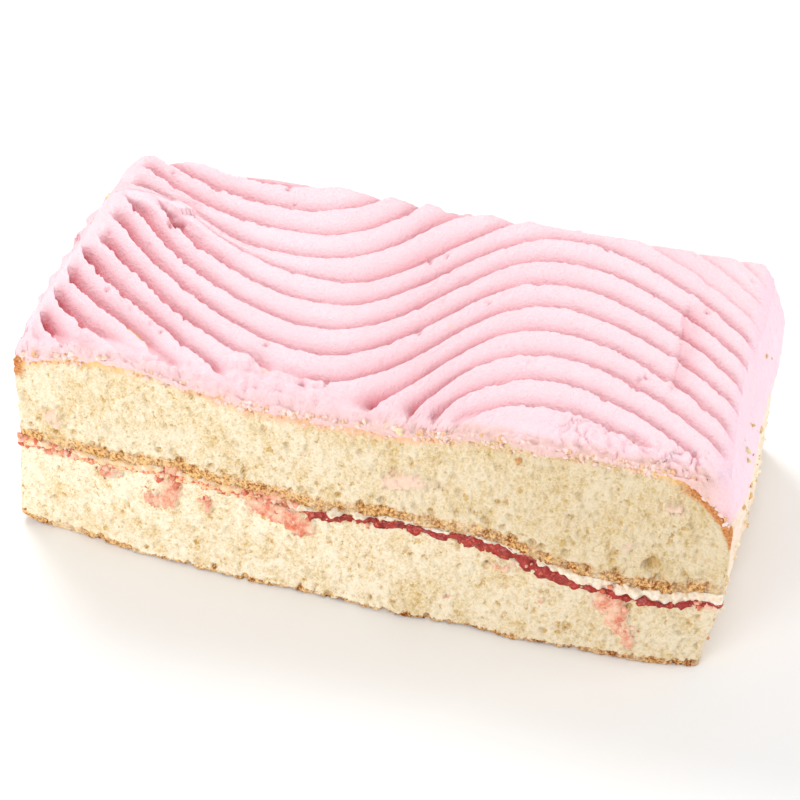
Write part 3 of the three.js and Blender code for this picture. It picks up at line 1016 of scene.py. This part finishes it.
def combedIcingTree(inputs):
    tree, sizes, sink = newTree("combedIcing", inputs)
    cut = trimSheet(tree, combedSheet(tree, sizes), sizes)

    # what the finish needs to know: how deep in a groove, on the end coat, on the front margin
    place, x, y, z = positionOf(tree)
    x = x - slab["shiftX"]
    fromMiddle = calc(tree, "ABSOLUTE", x)
    sunk = icingDeck(x, y, sizes) - z + 0.2
    lean = shoulder["lean"] * squeeze((z - shoulder["from"]) / shoulder["over"]) ** shoulder["power"]
    onRight = rise(x + lean + noise(place, 3, 3, 0.6, 4.0) * 2.5, 85.2, 3.0)
    onLeft = rise(-x, 85.8, 1.6) * fall(z, 47, 5)
    shallow = 1 - rise(fromMiddle, 82, 3) * rise(sunk, 3.5, 2)
    # how deep a point lies in a groove, by which the finish paints shade
    cut = storeValue(tree, cut, "hollow", squeeze(sunk / 4.0) * shallow * (1 - onRight) * rise(y, -38.2, 1.4))
    cut = storeValue(tree, cut, "coat", most(most(onRight, onLeft), fall(z, 44, 4)))
    cut = storeValue(tree, cut, "margin", fall(y + noise(place, 5, 2, 0.5, 2.0) * 4, -38.5, 4))
    jag = noise(place, 1.6, 3, 0.65, 9.0) * 5 + noise(place, 7, 2, 0.5, 6.0) * 3
    low = fall(z - spongeUnder(x, y) + jag, 0.5, 1.2)
    cut = storeValue(tree, cut, "mixed", low * fall(y, -36.5, 3) * fall(fromMiddle, 80, 4))
    return endTree(tree, cut, sizes, sink)


def endTree(tree, geometry, sizes, sink, crease=50):
    # Smooth shading away from sharp edges, instances made real, and the finish set.
    angle = tree.nodes.new("GeometryNodeInputMeshEdgeAngle")
    sharp = calc(tree, "LESS_THAN", Field(tree, angle.outputs[0]), math.radians(crease))
    real = geometryStep(tree, "GeometryNodeRealizeInstances", geometry)
    smooth = geometryStep(tree, "GeometryNodeSetShadeSmooth", real, Shade_Smooth=True)
    edges = tree.nodes.new("GeometryNodeSetShadeSmooth")
    edges.domain = "EDGE"
    plug(tree, smooth, edges.inputs[0])
    plug(tree, sharp, edges.inputs["Shade Smooth"])
    shaded = Field(tree, edges.outputs[0])
    final = geometryStep(tree, "GeometryNodeSetMaterial", shaded, Material=sizes["Finish Material"])
    plug(tree, final, sink)
    return tree


def outwards(tree):
    # The level direction away from the cake, from a face's normal.
    x, y, z = partsOf(normalOf(tree))
    return vectorMath("NORMALIZE", vectorOf(tree, x, y, 0))


def pushOut(tree, geometry, direction, amount, lift=0):
    offset = vectorMath("SCALE", direction, scale=amount * mm)
    offset = vectorMath("ADD", offset, vectorOf(tree, 0, 0, lift * mm))
    return geometryStep(tree, "GeometryNodeSetPosition", geometry, Offset=offset)


coatMarks = {"Stroke Height": 1.3, "Crumb Height": 1.8, "Edge Jag": 1.7, "Left Bulge": 2.4, "Seed": 2.0}


def coatTree(inputs):
    # Spatula strokes and crumbs on the ends, and a ragged edge along the front and back.
    tree, sizes, sink = newTree("spatulaCoat", inputs)
    place, x, y, z = positionOf(tree)
    ends = rise(calc(tree, "ABSOLUTE", x), 82, 3)
    onLeft = rise(-x, 80, 4)
    seed = sizes["Seed"]
    stroke = noise(vectorOf(tree, x, y / 2.4, z), 6, 3, 0.5, seed) * sizes["Stroke Height"]
    low = fall(z + noise(place, 8, 2, 0.5, seed) * 22, 12, 24)
    crumbs = noise(place, 1.7, 3, 0.6, seed) * sizes["Crumb Height"] * low
    crumbs = crumbs + noise(place, 2.0, 3, 0.6, 3.0) * 1.3
    edge = noise(place, 2.2, 4, 0.65, seed) * sizes["Edge Jag"] * (1 + rise(y, 20, 10))
    edge = edge + noise(place, 9, 2, 0.5, seed) * 1.4
    bulge = sizes["Left Bulge"] * onLeft * rise(z, 34, 16) * rise(y, -40, 22) * fall(y, 12, 26)
    waves = calc(tree, "SINE", y * 0.72 + 1.0 + noise(place, 12, 1, 0.5, 9.0) * 6)
    scallop = waves * 0.5 * onLeft * rise(z, 46, 8)
    out = ends * (stroke + crumbs) + (1 - ends) * edge + bulge + scallop
    plug(tree, pushOut(tree, sizes["Geometry"], outwards(tree), out), sink)
    return tree


coreMarks = {"Edge Jag": 2.6, "Edge Wave": 1.8, "Highest": 0.6, "Seed": 5.0}


def coreTree(inputs):
    # Makes the line between icing and sponge ragged.
    tree, sizes, sink = newTree("raggedCore", inputs)
    x, y, z = positionOf(tree)[1:]
    along = vectorOf(tree, x, 0, 0)
    jag = noise(along, 2.4, 4, 0.7, sizes["Seed"]) * sizes["Edge Jag"]
    jag = jag + noise(along, 12, 2, 0.5, 2.0) * sizes["Edge Wave"]
    lift = least(jag, sizes["Highest"]) * rise(z, 40, 8) * rise(-y, 31, 5)
    offset = vectorOf(tree, 0, 0, lift * mm)
    plug(tree, geometryStep(tree, "GeometryNodeSetPosition", sizes["Geometry"], Offset=offset), sink)
    return tree


# The back's top edge: comb ends stand out as points, and a notch lies between two sweeps: out, at, width
backPoints = [(1.3, -14.5, 3), (-3.4, -0.5, 3.2), (1.4, 6, 2.6), (-1.2, -27, 9)]


def backEdge(x, side, z):
    high = ramp(z, 48, 10) * (side > 0)
    points = sum(out * bell(x, at, width) for out, at, width in backPoints)
    ragged = 0.9 * np.sin(x / 1.7) + 0.7 * np.sin(x / 0.9 + 1)
    points = points + ragged * ramp(x, 30, 5) * (1 - ramp(x, 50, 5))
    front = 0.35 + 0.5 * np.sin(x / 4.1) * np.sin(x / 9.7)
    return points * high + front * (side < 0)


# What trims the icing: the length to cut up and the step, along, across and upwards, and the heights
trims = {
    "outlineAlong": (177, 0.55),
    "outlineAcross": (82, 0.75),
    "outlineUp": (60, 0.8),
    "coatFoot": 4.2,
    "coatFootWaves": [(1.6, 5, 0), (1.1, 1.9, 2)],   # height, length, shift
    "aboveTop": 5,
    "coreAlong": (177, 0.6),
    "coreAcross": [-1.4, *np.linspace(-1, 1, 12), 1.4],
    "coreUp": (60, 6),
    "coreBottom": -10,
    "intoSponge": 0.2,
}


def coatFoot(x, y):
    waves = (height * np.sin(y / length + shift) for height, length, shift in trims["coatFootWaves"])
    return sum(waves, trims["coatFoot"])


def makeIcing():
    outline = slabBody(
        "icingOutline",
        floor=coatFoot,
        roof=lambda x, y: slab["height"] + trims["aboveTop"] + 0 * x,
        along=steps(*trims["outlineAlong"]),
        across=steps(*trims["outlineAcross"]),
        levels=levelsOf(*trims["outlineUp"]),
        endInset=noInset, cornerRadius=coatCorner, reach=backEdge, gridCaps=True,
    )
    runTree(outline, coatTree(coatMarks), coatMarks)
    core = slabBody(
        "icingCore",
        floor=lambda x, y: trims["coreBottom"] + 0 * x,
        roof=lambda x, y: spongeRoof(x, y) - trims["intoSponge"],
        along=steps(*trims["coreAlong"]),
        across=np.array(trims["coreAcross"]),
        levels=levelsOf(*trims["coreUp"]),
        endInset=lambda z: coatThickness(z) + layers["overlap"], cornerRadius=0, gridCaps=True,
    )
    runTree(core, coreTree(coreMarks), coreMarks)
    piece = newPiece("combedIcing", bpy.data.meshes.new("combedIcing"))
    inputs = {**combMarks, "Outline Object": outline, "Core Object": core, "Finish Material": icingMaterial()}
    runTree(piece, combedIcingTree(inputs), inputs)
    for tool in (outline, core):
        bpy.data.objects.remove(tool)
    dress(piece, "icing", "icing")
    print("cake: icing combed,", len(piece.data.polygons), "faces")


def dress(piece, slot, *nodes):
    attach(piece, "root")
    if nodes:
        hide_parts(*nodes)


crumbMarks = {
    "Crumb Size": 1.15,
    "Crumb Height": 1.3,
    "Lump Height": 1.3,
    "Pore Depth": 0.45,
    "Open Depth": 0.6,
    "Hole Size": 4.6,
    "Hole Depth": 1.3,
    "Pit Depth": 1.9,
    "Crust Pits": 0.9,
    "Pit Band": 4.8,        # the crust pits lie this far above the layer's floor
    "Pit Band Width": 1.5,
    "Round Hole Depth": 2.2,
    "Foot Jag": 0.9,
    "Smooth Lips": 0.0,
    "Stain Height": 0.9,
    "Seed": 3.0,
}
lowerMarks = {**crumbMarks, "Crust Pits": 0.3, "Smooth Lips": 1.0}
upperMarks = {**crumbMarks, "Seed": 7.0, "Foot Jag": -0.5}

# One round hole in the cut face: along, height, half width
roundHole = (71.4, 31, 2.0)
pitSize = 3.4

# Jam and pink icing smeared over the cut face: along, height, half width, half height, strength
lowerStains = [
    (-63.5, 24.6, 4.0, 1.8, 0.9), (-51.5, 20.0, 4.0, 2.6, 0.8), (-47.0, 23.5, 2.4, 4.4, 1.2),
    (-37.5, 21.5, 1.6, 3.0, 0.9), (-20.0, 24.5, 9.0, 3.0, 1.2), (-13.5, 21.6, 3.4, 2.2, 1.1),
    (61.5, 18.0, 3.6, 3.4, 1.2), (64.5, 12.5, 2.8, 4.0, 1.0), (67.5, 6.8, 2.4, 3.4, 0.9),
    (23.5, 9.0, 1.2, 1.0, 0.8), (46.5, 14.6, 1.4, 1.4, 0.6), (36.0, 22.0, 5.0, 1.4, 0.8),
]
upperStains = [
    (-47.0, 29.5, 1.8, 2.4, 1.0), (-21.0, 29.0, 5.0, 1.6, 0.9), (14.0, 42.5, 6.5, 2.8, 0.8),
    (9.0, 40.5, 3.6, 3.0, 0.7), (-77.0, 38.5, 3.4, 4.6, 0.8),
    (64.5, 36.0, 2.6, 2.8, 0.6), (74.5, 49.5, 5.0, 4.0, 0.6),
]
def spotsAt(spots, x, z):
    # Soft spots on the cut face, added up.
    total = x * 0
    for along, height, wide, tall, strength in spots:
        total = total + hump(x, along + slab["shiftX"], wide) * hump(z, height, tall) * strength
    return total


def crumbTree(name, inputs, spots):
    tree, sizes, sink = newTree(name, inputs)
    seed = sizes["Seed"]
    place, x, y, z = positionOf(tree)
    above = readValue(tree, "aboveFloor")

    # pores, drawn out upwards, pits along the crust and one round hole
    drawn = vectorMath("MULTIPLY", place, (1, 1, 0.7))
    crumb = noise(drawn, sizes["Crumb Size"], 2, 0.6, seed)
    porous = noise(drawn, 5, 2, 0.55, seed + 1)
    holes = rise(0.25 - cells(drawn, sizes["Hole Size"], seed), 0, 0.12) * rise(porous, 0.0, 0.12)
    band = hump(above, sizes["Pit Band"], sizes["Pit Band Width"]) * sizes["Crust Pits"]
    crustPit = rise(0.34 - cells(place, pitSize, 8.0), 0, 0.14) * band
    coarse = noise(drawn, sizes["Crumb Size"] * 2.1, 2, 0.55, seed + 2) + porous * 0.3
    gap = rise(-coarse, 0.1, 0.1)
    deep = rise(-crumb, 0.06, 0.2)
    bite = holes * sizes["Hole Depth"] + crustPit * sizes["Pit Depth"] + deep * sizes["Pore Depth"]
    holeX, holeZ, holeWidth = roundHole
    hole = rise(hump(x, holeX, holeWidth) * hump(z, holeZ, holeWidth), 0.3, 0.3) * rise(-y, 30, 4)
    bite = bite + gap * sizes["Open Depth"] + hole * sizes["Round Hole Depth"]

    # lumps, the ragged foot and the smears, which fill the pores
    lumps = noise(place, 6.5, 3, 0.55, seed) * sizes["Lump Height"] + crumb * sizes["Crumb Height"]
    ends = 1 - 0.7 * rise(calc(tree, "ABSOLUTE", x), 84, 3)
    ragged = most(noise(place, 1.5, 3, 0.6, seed) + 0.12, 0) * sizes["Foot Jag"] * 3
    jag = ragged * calc(tree, "EXPONENT", -above / 0.9)
    jag = jag * (1 - 0.8 * (lipsAt(x) * sizes["Smooth Lips"]))
    total = spotsAt(spots, x, z)
    crumbly = noise(place, 1.7, 3, 0.65, seed + 4)
    smear = rise(total * (1 + 1.6 * crumbly) + crumbly * 0.9, 0.36, 0.3)
    smear = smear * fall(y, -32, 4) * rise(total, 0.05, 0.1)
    lumps = lumps + smear * (sizes["Stain Height"] + crumbly * 2.6)
    out = (lumps - bite * (1 - 0.7 * smear)) * ends
    moved = pushOut(tree, sizes["Geometry"], outwards(tree), out, lift=jag)
    moved = storeValue(tree, moved, "stain", smear)
    # how deep each point lies in pores, gaps, pits and the round hole, for the painted shade in them
    pore = squeeze(0.3 - crumb * 1.5 + gap * 0.42 + holes * 0.5 + crustPit * 0.7 + hole * 0.5)
    moved = storeValue(tree, moved, "pore", pore)
    return endTree(tree, moved, sizes, sink, crease=180)


jamMarks = {
    "Bulge": 0.2,
    "Lump Size": 2.2,
    "Lump Height": 4.0,
    "Waver": 2.2,
    "Uneven Edge": 3.4,
    "Seed": 6.0,
}
creamMarks = {
    "Bulge": 0.1,
    "Lump Size": 2.6,
    "Lump Height": 6.0,
    "Waver": 2.0,
    "Uneven Edge": 2.4,
    "Seed": 9.0,
}


def fillingTree(name, inputs):
    # Soft lumps pressed out between the layers, wavy up and down.
    tree, sizes, sink = newTree(name, inputs)
    seed = sizes["Seed"]
    place, x, y = positionOf(tree)[:3]
    lumpy = noise(vectorMath("SCALE", place, scale=1 / sizes["Lump Size"]), 1.0, 1.6, 0.5, seed)
    waver = noise(vectorOf(tree, x / 3.5, y / 3.5, 0), 1.0, 4, 0.65, seed) * sizes["Waver"]
    above = readValue(tree, "aboveFloor")
    upper = above / (above + readValue(tree, "belowRoof") + 0.01)
    edge = noise(vectorOf(tree, x / 3.2, y / 3.2, 0), 1.0, 3, 0.6, seed + 3) * sizes["Uneven Edge"]
    waver = waver + (upper - 0.5) * edge * rise(x, -24, 8)
    shorter = 1 - 0.8 * rise(calc(tree, "ABSOLUTE", x), 83, 3)
    out = sizes["Bulge"] + lumpy * sizes["Lump Height"] * shorter
    moved = pushOut(tree, sizes["Geometry"], outwards(tree), out, lift=waver)
    moved = storeValue(tree, moved, "pale", fall(x + noise(place, 9, 2, 0.5, 3.0) * 14, -22, 12))
    return endTree(tree, moved, sizes, sink, crease=180)


# How finely the layers' bodies are cut up: along, across and upwards
spongeGrain = (0.42, 0.9, 0.42)
fillingGrain = (0.45, 0.9, 0.4)
layerLength = 177
layerDepth = 80


def makeLayer(name, node, slot, floor, roof, height, grain, marks, material, spots=None):
    # One layer between two heights: its body, its relief and its finish. A sponge has smeared spots.
    along, across, upwards = grain
    piece = slabBody(
        name, floor, roof, steps(layerLength, along), steps(layerDepth, across), levelsOf(height, upwards),
    )
    inputs = {**marks, "Finish Material": material}
    runTree(piece, crumbTree(name, inputs, spots) if spots else fillingTree(name, inputs), inputs)
    dress(piece, slot, node)
    print("cake:", name, "laid,", len(piece.data.polygons), "faces")


def patch(along, across, place):
    # A sheet of points in millimetres for crumbs to lie on, from a rule of two steps.
    a, b = np.meshgrid(along, across)
    points = np.stack([part + 0 * a for part in place(a, b)], -1).reshape(-1, 3)
    index = np.arange(a.size).reshape(a.shape)
    quads = np.stack([index[:-1, :-1], index[:-1, 1:], index[1:, 1:], index[1:, :-1]], -1)
    return points, quads.reshape(-1, 4)


def joinPatches(name, patches):
    points = np.concatenate([each[0] for each in patches])
    starts = np.cumsum([0] + [len(each[0]) for each in patches[:-1]])
    return makeMesh(name, points, np.concatenate([each[1] + start for each, start in zip(patches, starts)]))


# One crumb, before it is sized and turned
crumbBall = {"segments": 7, "rings": 5, "lumpSize": 0.7, "lumpHeight": 2.2, "flattest": 0.5, "longest": 1.3}


def scatterTree(name, inputs, share):
    # Small lumpy crumbs, thrown on a sheet where the share says, sunk half way in.
    tree, sizes, sink = newTree(name, inputs)
    place, x, y, z = positionOf(tree)
    density = share(place, x, y, z) * sizes["Per Square Millimetre"] * 1e6
    points = geometryStep(
        tree, "GeometryNodeDistributePointsOnFaces", sizes["Geometry"],
        Density=density, Seed=sizes["Seed Number"],
    )
    ball = geometryStep(
        tree, "GeometryNodeMeshUVSphere", None,
        Segments=crumbBall["segments"], Rings=crumbBall["rings"], Radius=mm,
    )
    lump = noise(place, crumbBall["lumpSize"], 2, 0.6, 3.0) * crumbBall["lumpHeight"] * mm
    shape = vectorMath("SCALE", normalOf(tree), scale=lump)
    crumb = geometryStep(tree, "GeometryNodeSetPosition", ball, Offset=shape)
    turn = randomOf(tree, "FLOAT_VECTOR", (0, 0, 0), (6.28, 6.28, 6.28), 5)
    size = randomOf(tree, "FLOAT", sizes["Smallest"], sizes["Largest"], 6)
    size = size * size / sizes["Largest"]
    squash = randomOf(tree, "FLOAT", crumbBall["flattest"], crumbBall["longest"], 8)
    scale = vectorOf(tree, size, size * squash, size)
    laid = geometryStep(
        tree, "GeometryNodeInstanceOnPoints", points,
        Instance=crumb, Rotation=turn, Scale=scale,
    )
    toned = storeValue(tree, laid, "tone", randomOf(tree, "FLOAT", 0.0, 1.0, 7), "INSTANCE")
    return endTree(tree, toned, sizes, sink, crease=180)


def randomOf(tree, kind, low, high, seed):
    node = tree.nodes.new("FunctionNodeRandomValue")
    node.data_type = kind
    first = 0 if kind == "FLOAT_VECTOR" else 2
    plug(tree, low, node.inputs[first])
    plug(tree, high, node.inputs[first + 1])
    plug(tree, seed, node.inputs["Seed"])
    return Field(tree, node.outputs[0 if kind == "FLOAT_VECTOR" else 1])


def crumbMaterial(name, tones):
    dull = 0.8 - 0.4 * tones["shine"]
    f = Finish(name, roughness=dull, specular=0.3, subsurface=0.2, radius=(1, 0.5, 0.3), depth=0.8)
    tone = f.attribute("tone")
    grain = noise(f.place, 0.7, 3, 0.6, 2.0)
    colour = f.paint(tones["pale"], tones["mid"], squeeze(tone * 1.6 + grain * 1.5))
    colour = f.paint(colour, tones["dark"], squeeze(tone * 2.0 - 1.1 + grain * 1.5))
    return f.finish(colour, grain, 0.3)


def throwCrumbs(name, slot, sheets, share, marks, tones):
    piece = joinPatches(name, sheets)
    inputs = {**marks, "Finish Material": crumbMaterial(name, tones)}
    runTree(piece, scatterTree(name, inputs, share), inputs)
    dress(piece, slot)
    print("cake:", name, "thrown,", len(piece.data.polygons), "faces")


jamCrumbMarks = {"Per Square Millimetre": 1.7, "Smallest": 0.25, "Largest": 0.95, "Seed Number": 4}
jamCrumbTones = {"pale": (252, 216, 194), "mid": (243, 172, 142), "dark": (214, 98, 72), "shine": 0.6}

# Clumps of crumb soaked with jam: along, height, half width, half height, share
jamClumps = [
    (-79.0, 28.0, 9.0, 1.6, 1.3), (-64.0, 26.5, 3.6, 1.8, 0.9), (-51.5, 21.0, 3.6, 2.2, 0.5),
    (-47.0, 26.5, 2.4, 4.6, 1.0), (-38.5, 23.0, 1.5, 2.8, 0.7), (-27.0, 27.0, 4.0, 1.8, 0.8),
    (-19.5, 26.5, 6.0, 3.2, 1.1), (-13.0, 23.0, 3.0, 2.0, 0.8), (1.5, 26.3, 3.5, 0.9, 0.5),
    (42.0, 23.8, 3.5, 2.0, 0.5), (61.5, 19.6, 2.6, 2.2, 0.9), (64.5, 13.8, 2.2, 3.4, 0.7),
    (67.5, 8.6, 2.0, 2.6, 0.6), (84.0, 21.0, 3.0, 1.6, 0.7),
]

def makeJamCrumbs():
    def place(x, z):
        return x + slab["shiftX"], -frontFace(x, z) - 0.1, z

    def share(place, x, y, z):
        return most(spotsAt(jamClumps, x, z) * (1 + 2.0 * noise(place, 2.6, 2, 0.5, 3.0)) - 0.12, 0)

    front = patch(np.linspace(-88, 88, 177), np.linspace(3, 36, 34), place)
    throwCrumbs("jamCrumbs", "jam", [front], share, jamCrumbMarks, jamCrumbTones)


cakeCrumbMarks = {"Per Square Millimetre": 0.16, "Smallest": 0.25, "Largest": 1.0, "Seed Number": 9}
cakeCrumbTones = {"pale": (254, 240, 212), "mid": (240, 204, 150), "dark": (200, 136, 74), "shine": 0.1}


def makeCakeCrumbs():
    height = slab["height"]
    shift = slab["shiftX"]
    out = 0.2                   # the sheets lie this far outside the faces

    def share(place, x, y, z):
        clumps = rise(noise(place, 7, 3, 0.6, 2.0), 0.02, 0.16)
        lower = fall(z, 16, 26)
        edge = rise(z, 50, 3) * 0.9
        leftSpot = hump(y, 15, 2.2) * hump(z, 52, 3.5) * rise(-x, 70, 5) * 6
        return clumps * (0.22 + 0.6 * lower + edge) + leftSpot

    rightEnd = patch(np.linspace(-36, 38, 60), np.linspace(3, 54, 50),
                     lambda y, z: (rightFace(y, z) + shift + out, y, z))
    leftEnd = patch(np.linspace(34, -36, 60), np.linspace(3, 56, 50),
                    lambda y, z: (-leftFace(y, z) + shift - out, y, z))
    backTop = patch(np.linspace(84, -84, 120), np.linspace(height - 6, height - 3.2, 4),
                    lambda x, z: (x + shift, backFace(x, z) + out, z))
    frontTop = patch(np.linspace(-84, 84, 120), np.linspace(height - 5.6, height - 3.6, 3),
                     lambda x, z: (x + shift, -frontFace(x, z) - out, z))
    sheets = [rightEnd, leftEnd, backTop, frontTop]
    throwCrumbs("cakeCrumbs", "sponge", sheets, share, cakeCrumbMarks, cakeCrumbTones)


edgeCrumbMarks = {"Per Square Millimetre": 3.4, "Smallest": 0.2, "Largest": 0.7, "Seed Number": 12}
edgeCrumbTones = {"pale": (255, 226, 222), "mid": (253, 214, 194), "dark": (238, 184, 134), "shine": 0.1}


def makeEdgeCrumbs():
    # The mix of crumb and icing along the line where the icing meets the cut face.
    def place(nominal, away):
        z = spongeRoof(nominal, -slab["frontReach"]) + away
        end = np.where(nominal > 0, rightFace(-slab["frontReach"], z), slab["rightReach"])
        x = nominal / slab["rightReach"] * end
        return x + slab["shiftX"], 0.1 - frontFace(x, z), z

    def share(place, x, y, z):
        clumps = rise(noise(place, 3.5, 3, 0.6, 2.0), -0.08, 0.16)
        return clumps * (0.3 + 0.7 * most(rise(x, -45, 20), fall(x, -66, 8)))

    line = patch(np.linspace(-84, 87, 240), np.linspace(-1.8, 1.2, 5), place)
    throwCrumbs("edgeCrumbs", "icing", [line], share, edgeCrumbMarks, edgeCrumbTones)


view = {
    "from": (104.16, -396.63, 399.25),
    "azimuth": 14.735,
    "elevation": 42.029,
    "roll": 1.131,
    "lens": 99.0,
    "sensor": 36.0,
}


def makeCamera():
    azimuth, elevation, roll = (math.radians(view[key]) for key in ("azimuth", "elevation", "roll"))
    level = math.cos(elevation)
    back = Vector((math.sin(azimuth) * level, -math.cos(azimuth) * level, math.sin(elevation)))
    right = Vector((0, 0, 1)).cross(back).normalized()
    up = back.cross(right)
    across = right * math.cos(roll) + up * math.sin(roll)
    upwards = up * math.cos(roll) - right * math.sin(roll)
    turned = Matrix((across, upwards, back)).transposed().to_4x4()
    data = bpy.data.cameras.new("camera")
    data.lens = view["lens"]
    data.sensor_width = view["sensor"]
    camera = bpy.data.objects.new("camera", data)
    camera.matrix_world = Matrix.Translation(Vector(view["from"]) * mm) @ turned
    bpy.context.scene.collection.objects.link(camera)
    bpy.context.scene.camera = camera


studio = {
    "sky": 0.62,
    "floorShade": 0.92,
    "floorHalf": 3000,
    "floorBelow": 0.2,
    "aimHeight": 30,
    "lights": [  # place, size and power
        ((-320, 330, 560), 300, 2.5),
        ((-260, -560, 260), 380, 1.9),
        ((620, 60, 320), 380, 1.7),
    ],
}


def makeStudio():
    half = studio["floorHalf"]
    corners = [(-half, -half), (half, -half), (half, half), (-half, half)]
    points = np.array([(x, y, -studio["floorBelow"]) for x, y in corners], float)
    floor = makeMesh("floor", points, np.array([[0, 1, 2, 3]]))
    material = bpy.data.materials.new("paleFloor")
    material.use_nodes = True
    shade = studio["floorShade"]
    shader = material.node_tree.nodes["Principled BSDF"]
    shader.inputs["Base Color"].default_value = (shade, shade, shade, 1)
    shader.inputs["Roughness"].default_value = 0.9
    floor.data.materials.append(material)
    for place, size, power in studio["lights"]:
        data = bpy.data.lights.new("softLight", "AREA")
        data.shape = "DISK"
        data.size = size * mm
        data.energy = power
        light = bpy.data.objects.new("softLight", data)
        at = Vector(place) * mm
        toCake = Vector((0, 0, studio["aimHeight"] * mm)) - at
        light.matrix_world = Matrix.Translation(at) @ toCake.to_track_quat("-Z", "Y").to_matrix().to_4x4()
        bpy.context.scene.collection.objects.link(light)
    world = bpy.data.worlds.new("studioSky")
    world.use_nodes = True
    sky = world.node_tree.nodes["Background"]
    sky.inputs["Color"].default_value = (1, 1, 1, 1)
    sky.inputs["Strength"].default_value = studio["sky"]
    bpy.context.scene.world = world
    bpy.context.scene.view_settings.view_transform = "Standard"


makeCamera()
makeStudio()
print("cake: camera and studio are set")
makeIcing()
makeLayer(
    "spongeLower", "sponge_lower", "sponge",
    floor=foot, roof=lambda x, y: jamFloor(x, y) + layers["overlap"],
    height=26.6, grain=spongeGrain, marks=lowerMarks, spots=lowerStains,
    material=spongeMaterial("lowerCrumb", crustHeight=0.9, lipHeight=0.8, peachDepth=0, darker=0.0),
)
makeLayer(
    "spongeUpper", "sponge_upper", "sponge",
    floor=lambda x, y: upperFloor(x, y) - layers["overlap"], roof=spongeRoof,
    height=24.0, grain=spongeGrain, marks=upperMarks, spots=upperStains,
    material=spongeMaterial("upperCrumb", crustHeight=3.9, lipHeight=0, peachDepth=3.0, darker=0.15),
)
makeLayer(
    "jamSpread", "jam", "jam", floor=jamFloor, roof=creamFloor,
    height=1.6, grain=fillingGrain, marks=jamMarks, material=jamMaterial(),
)
makeLayer(
    "creamSpread", "cream", "cream", floor=creamFloor, roof=upperFloor,
    height=3.0, grain=fillingGrain, marks=creamMarks, material=creamMaterial(),
)
makeJamCrumbs()
makeCakeCrumbs()
makeEdgeCrumbs()
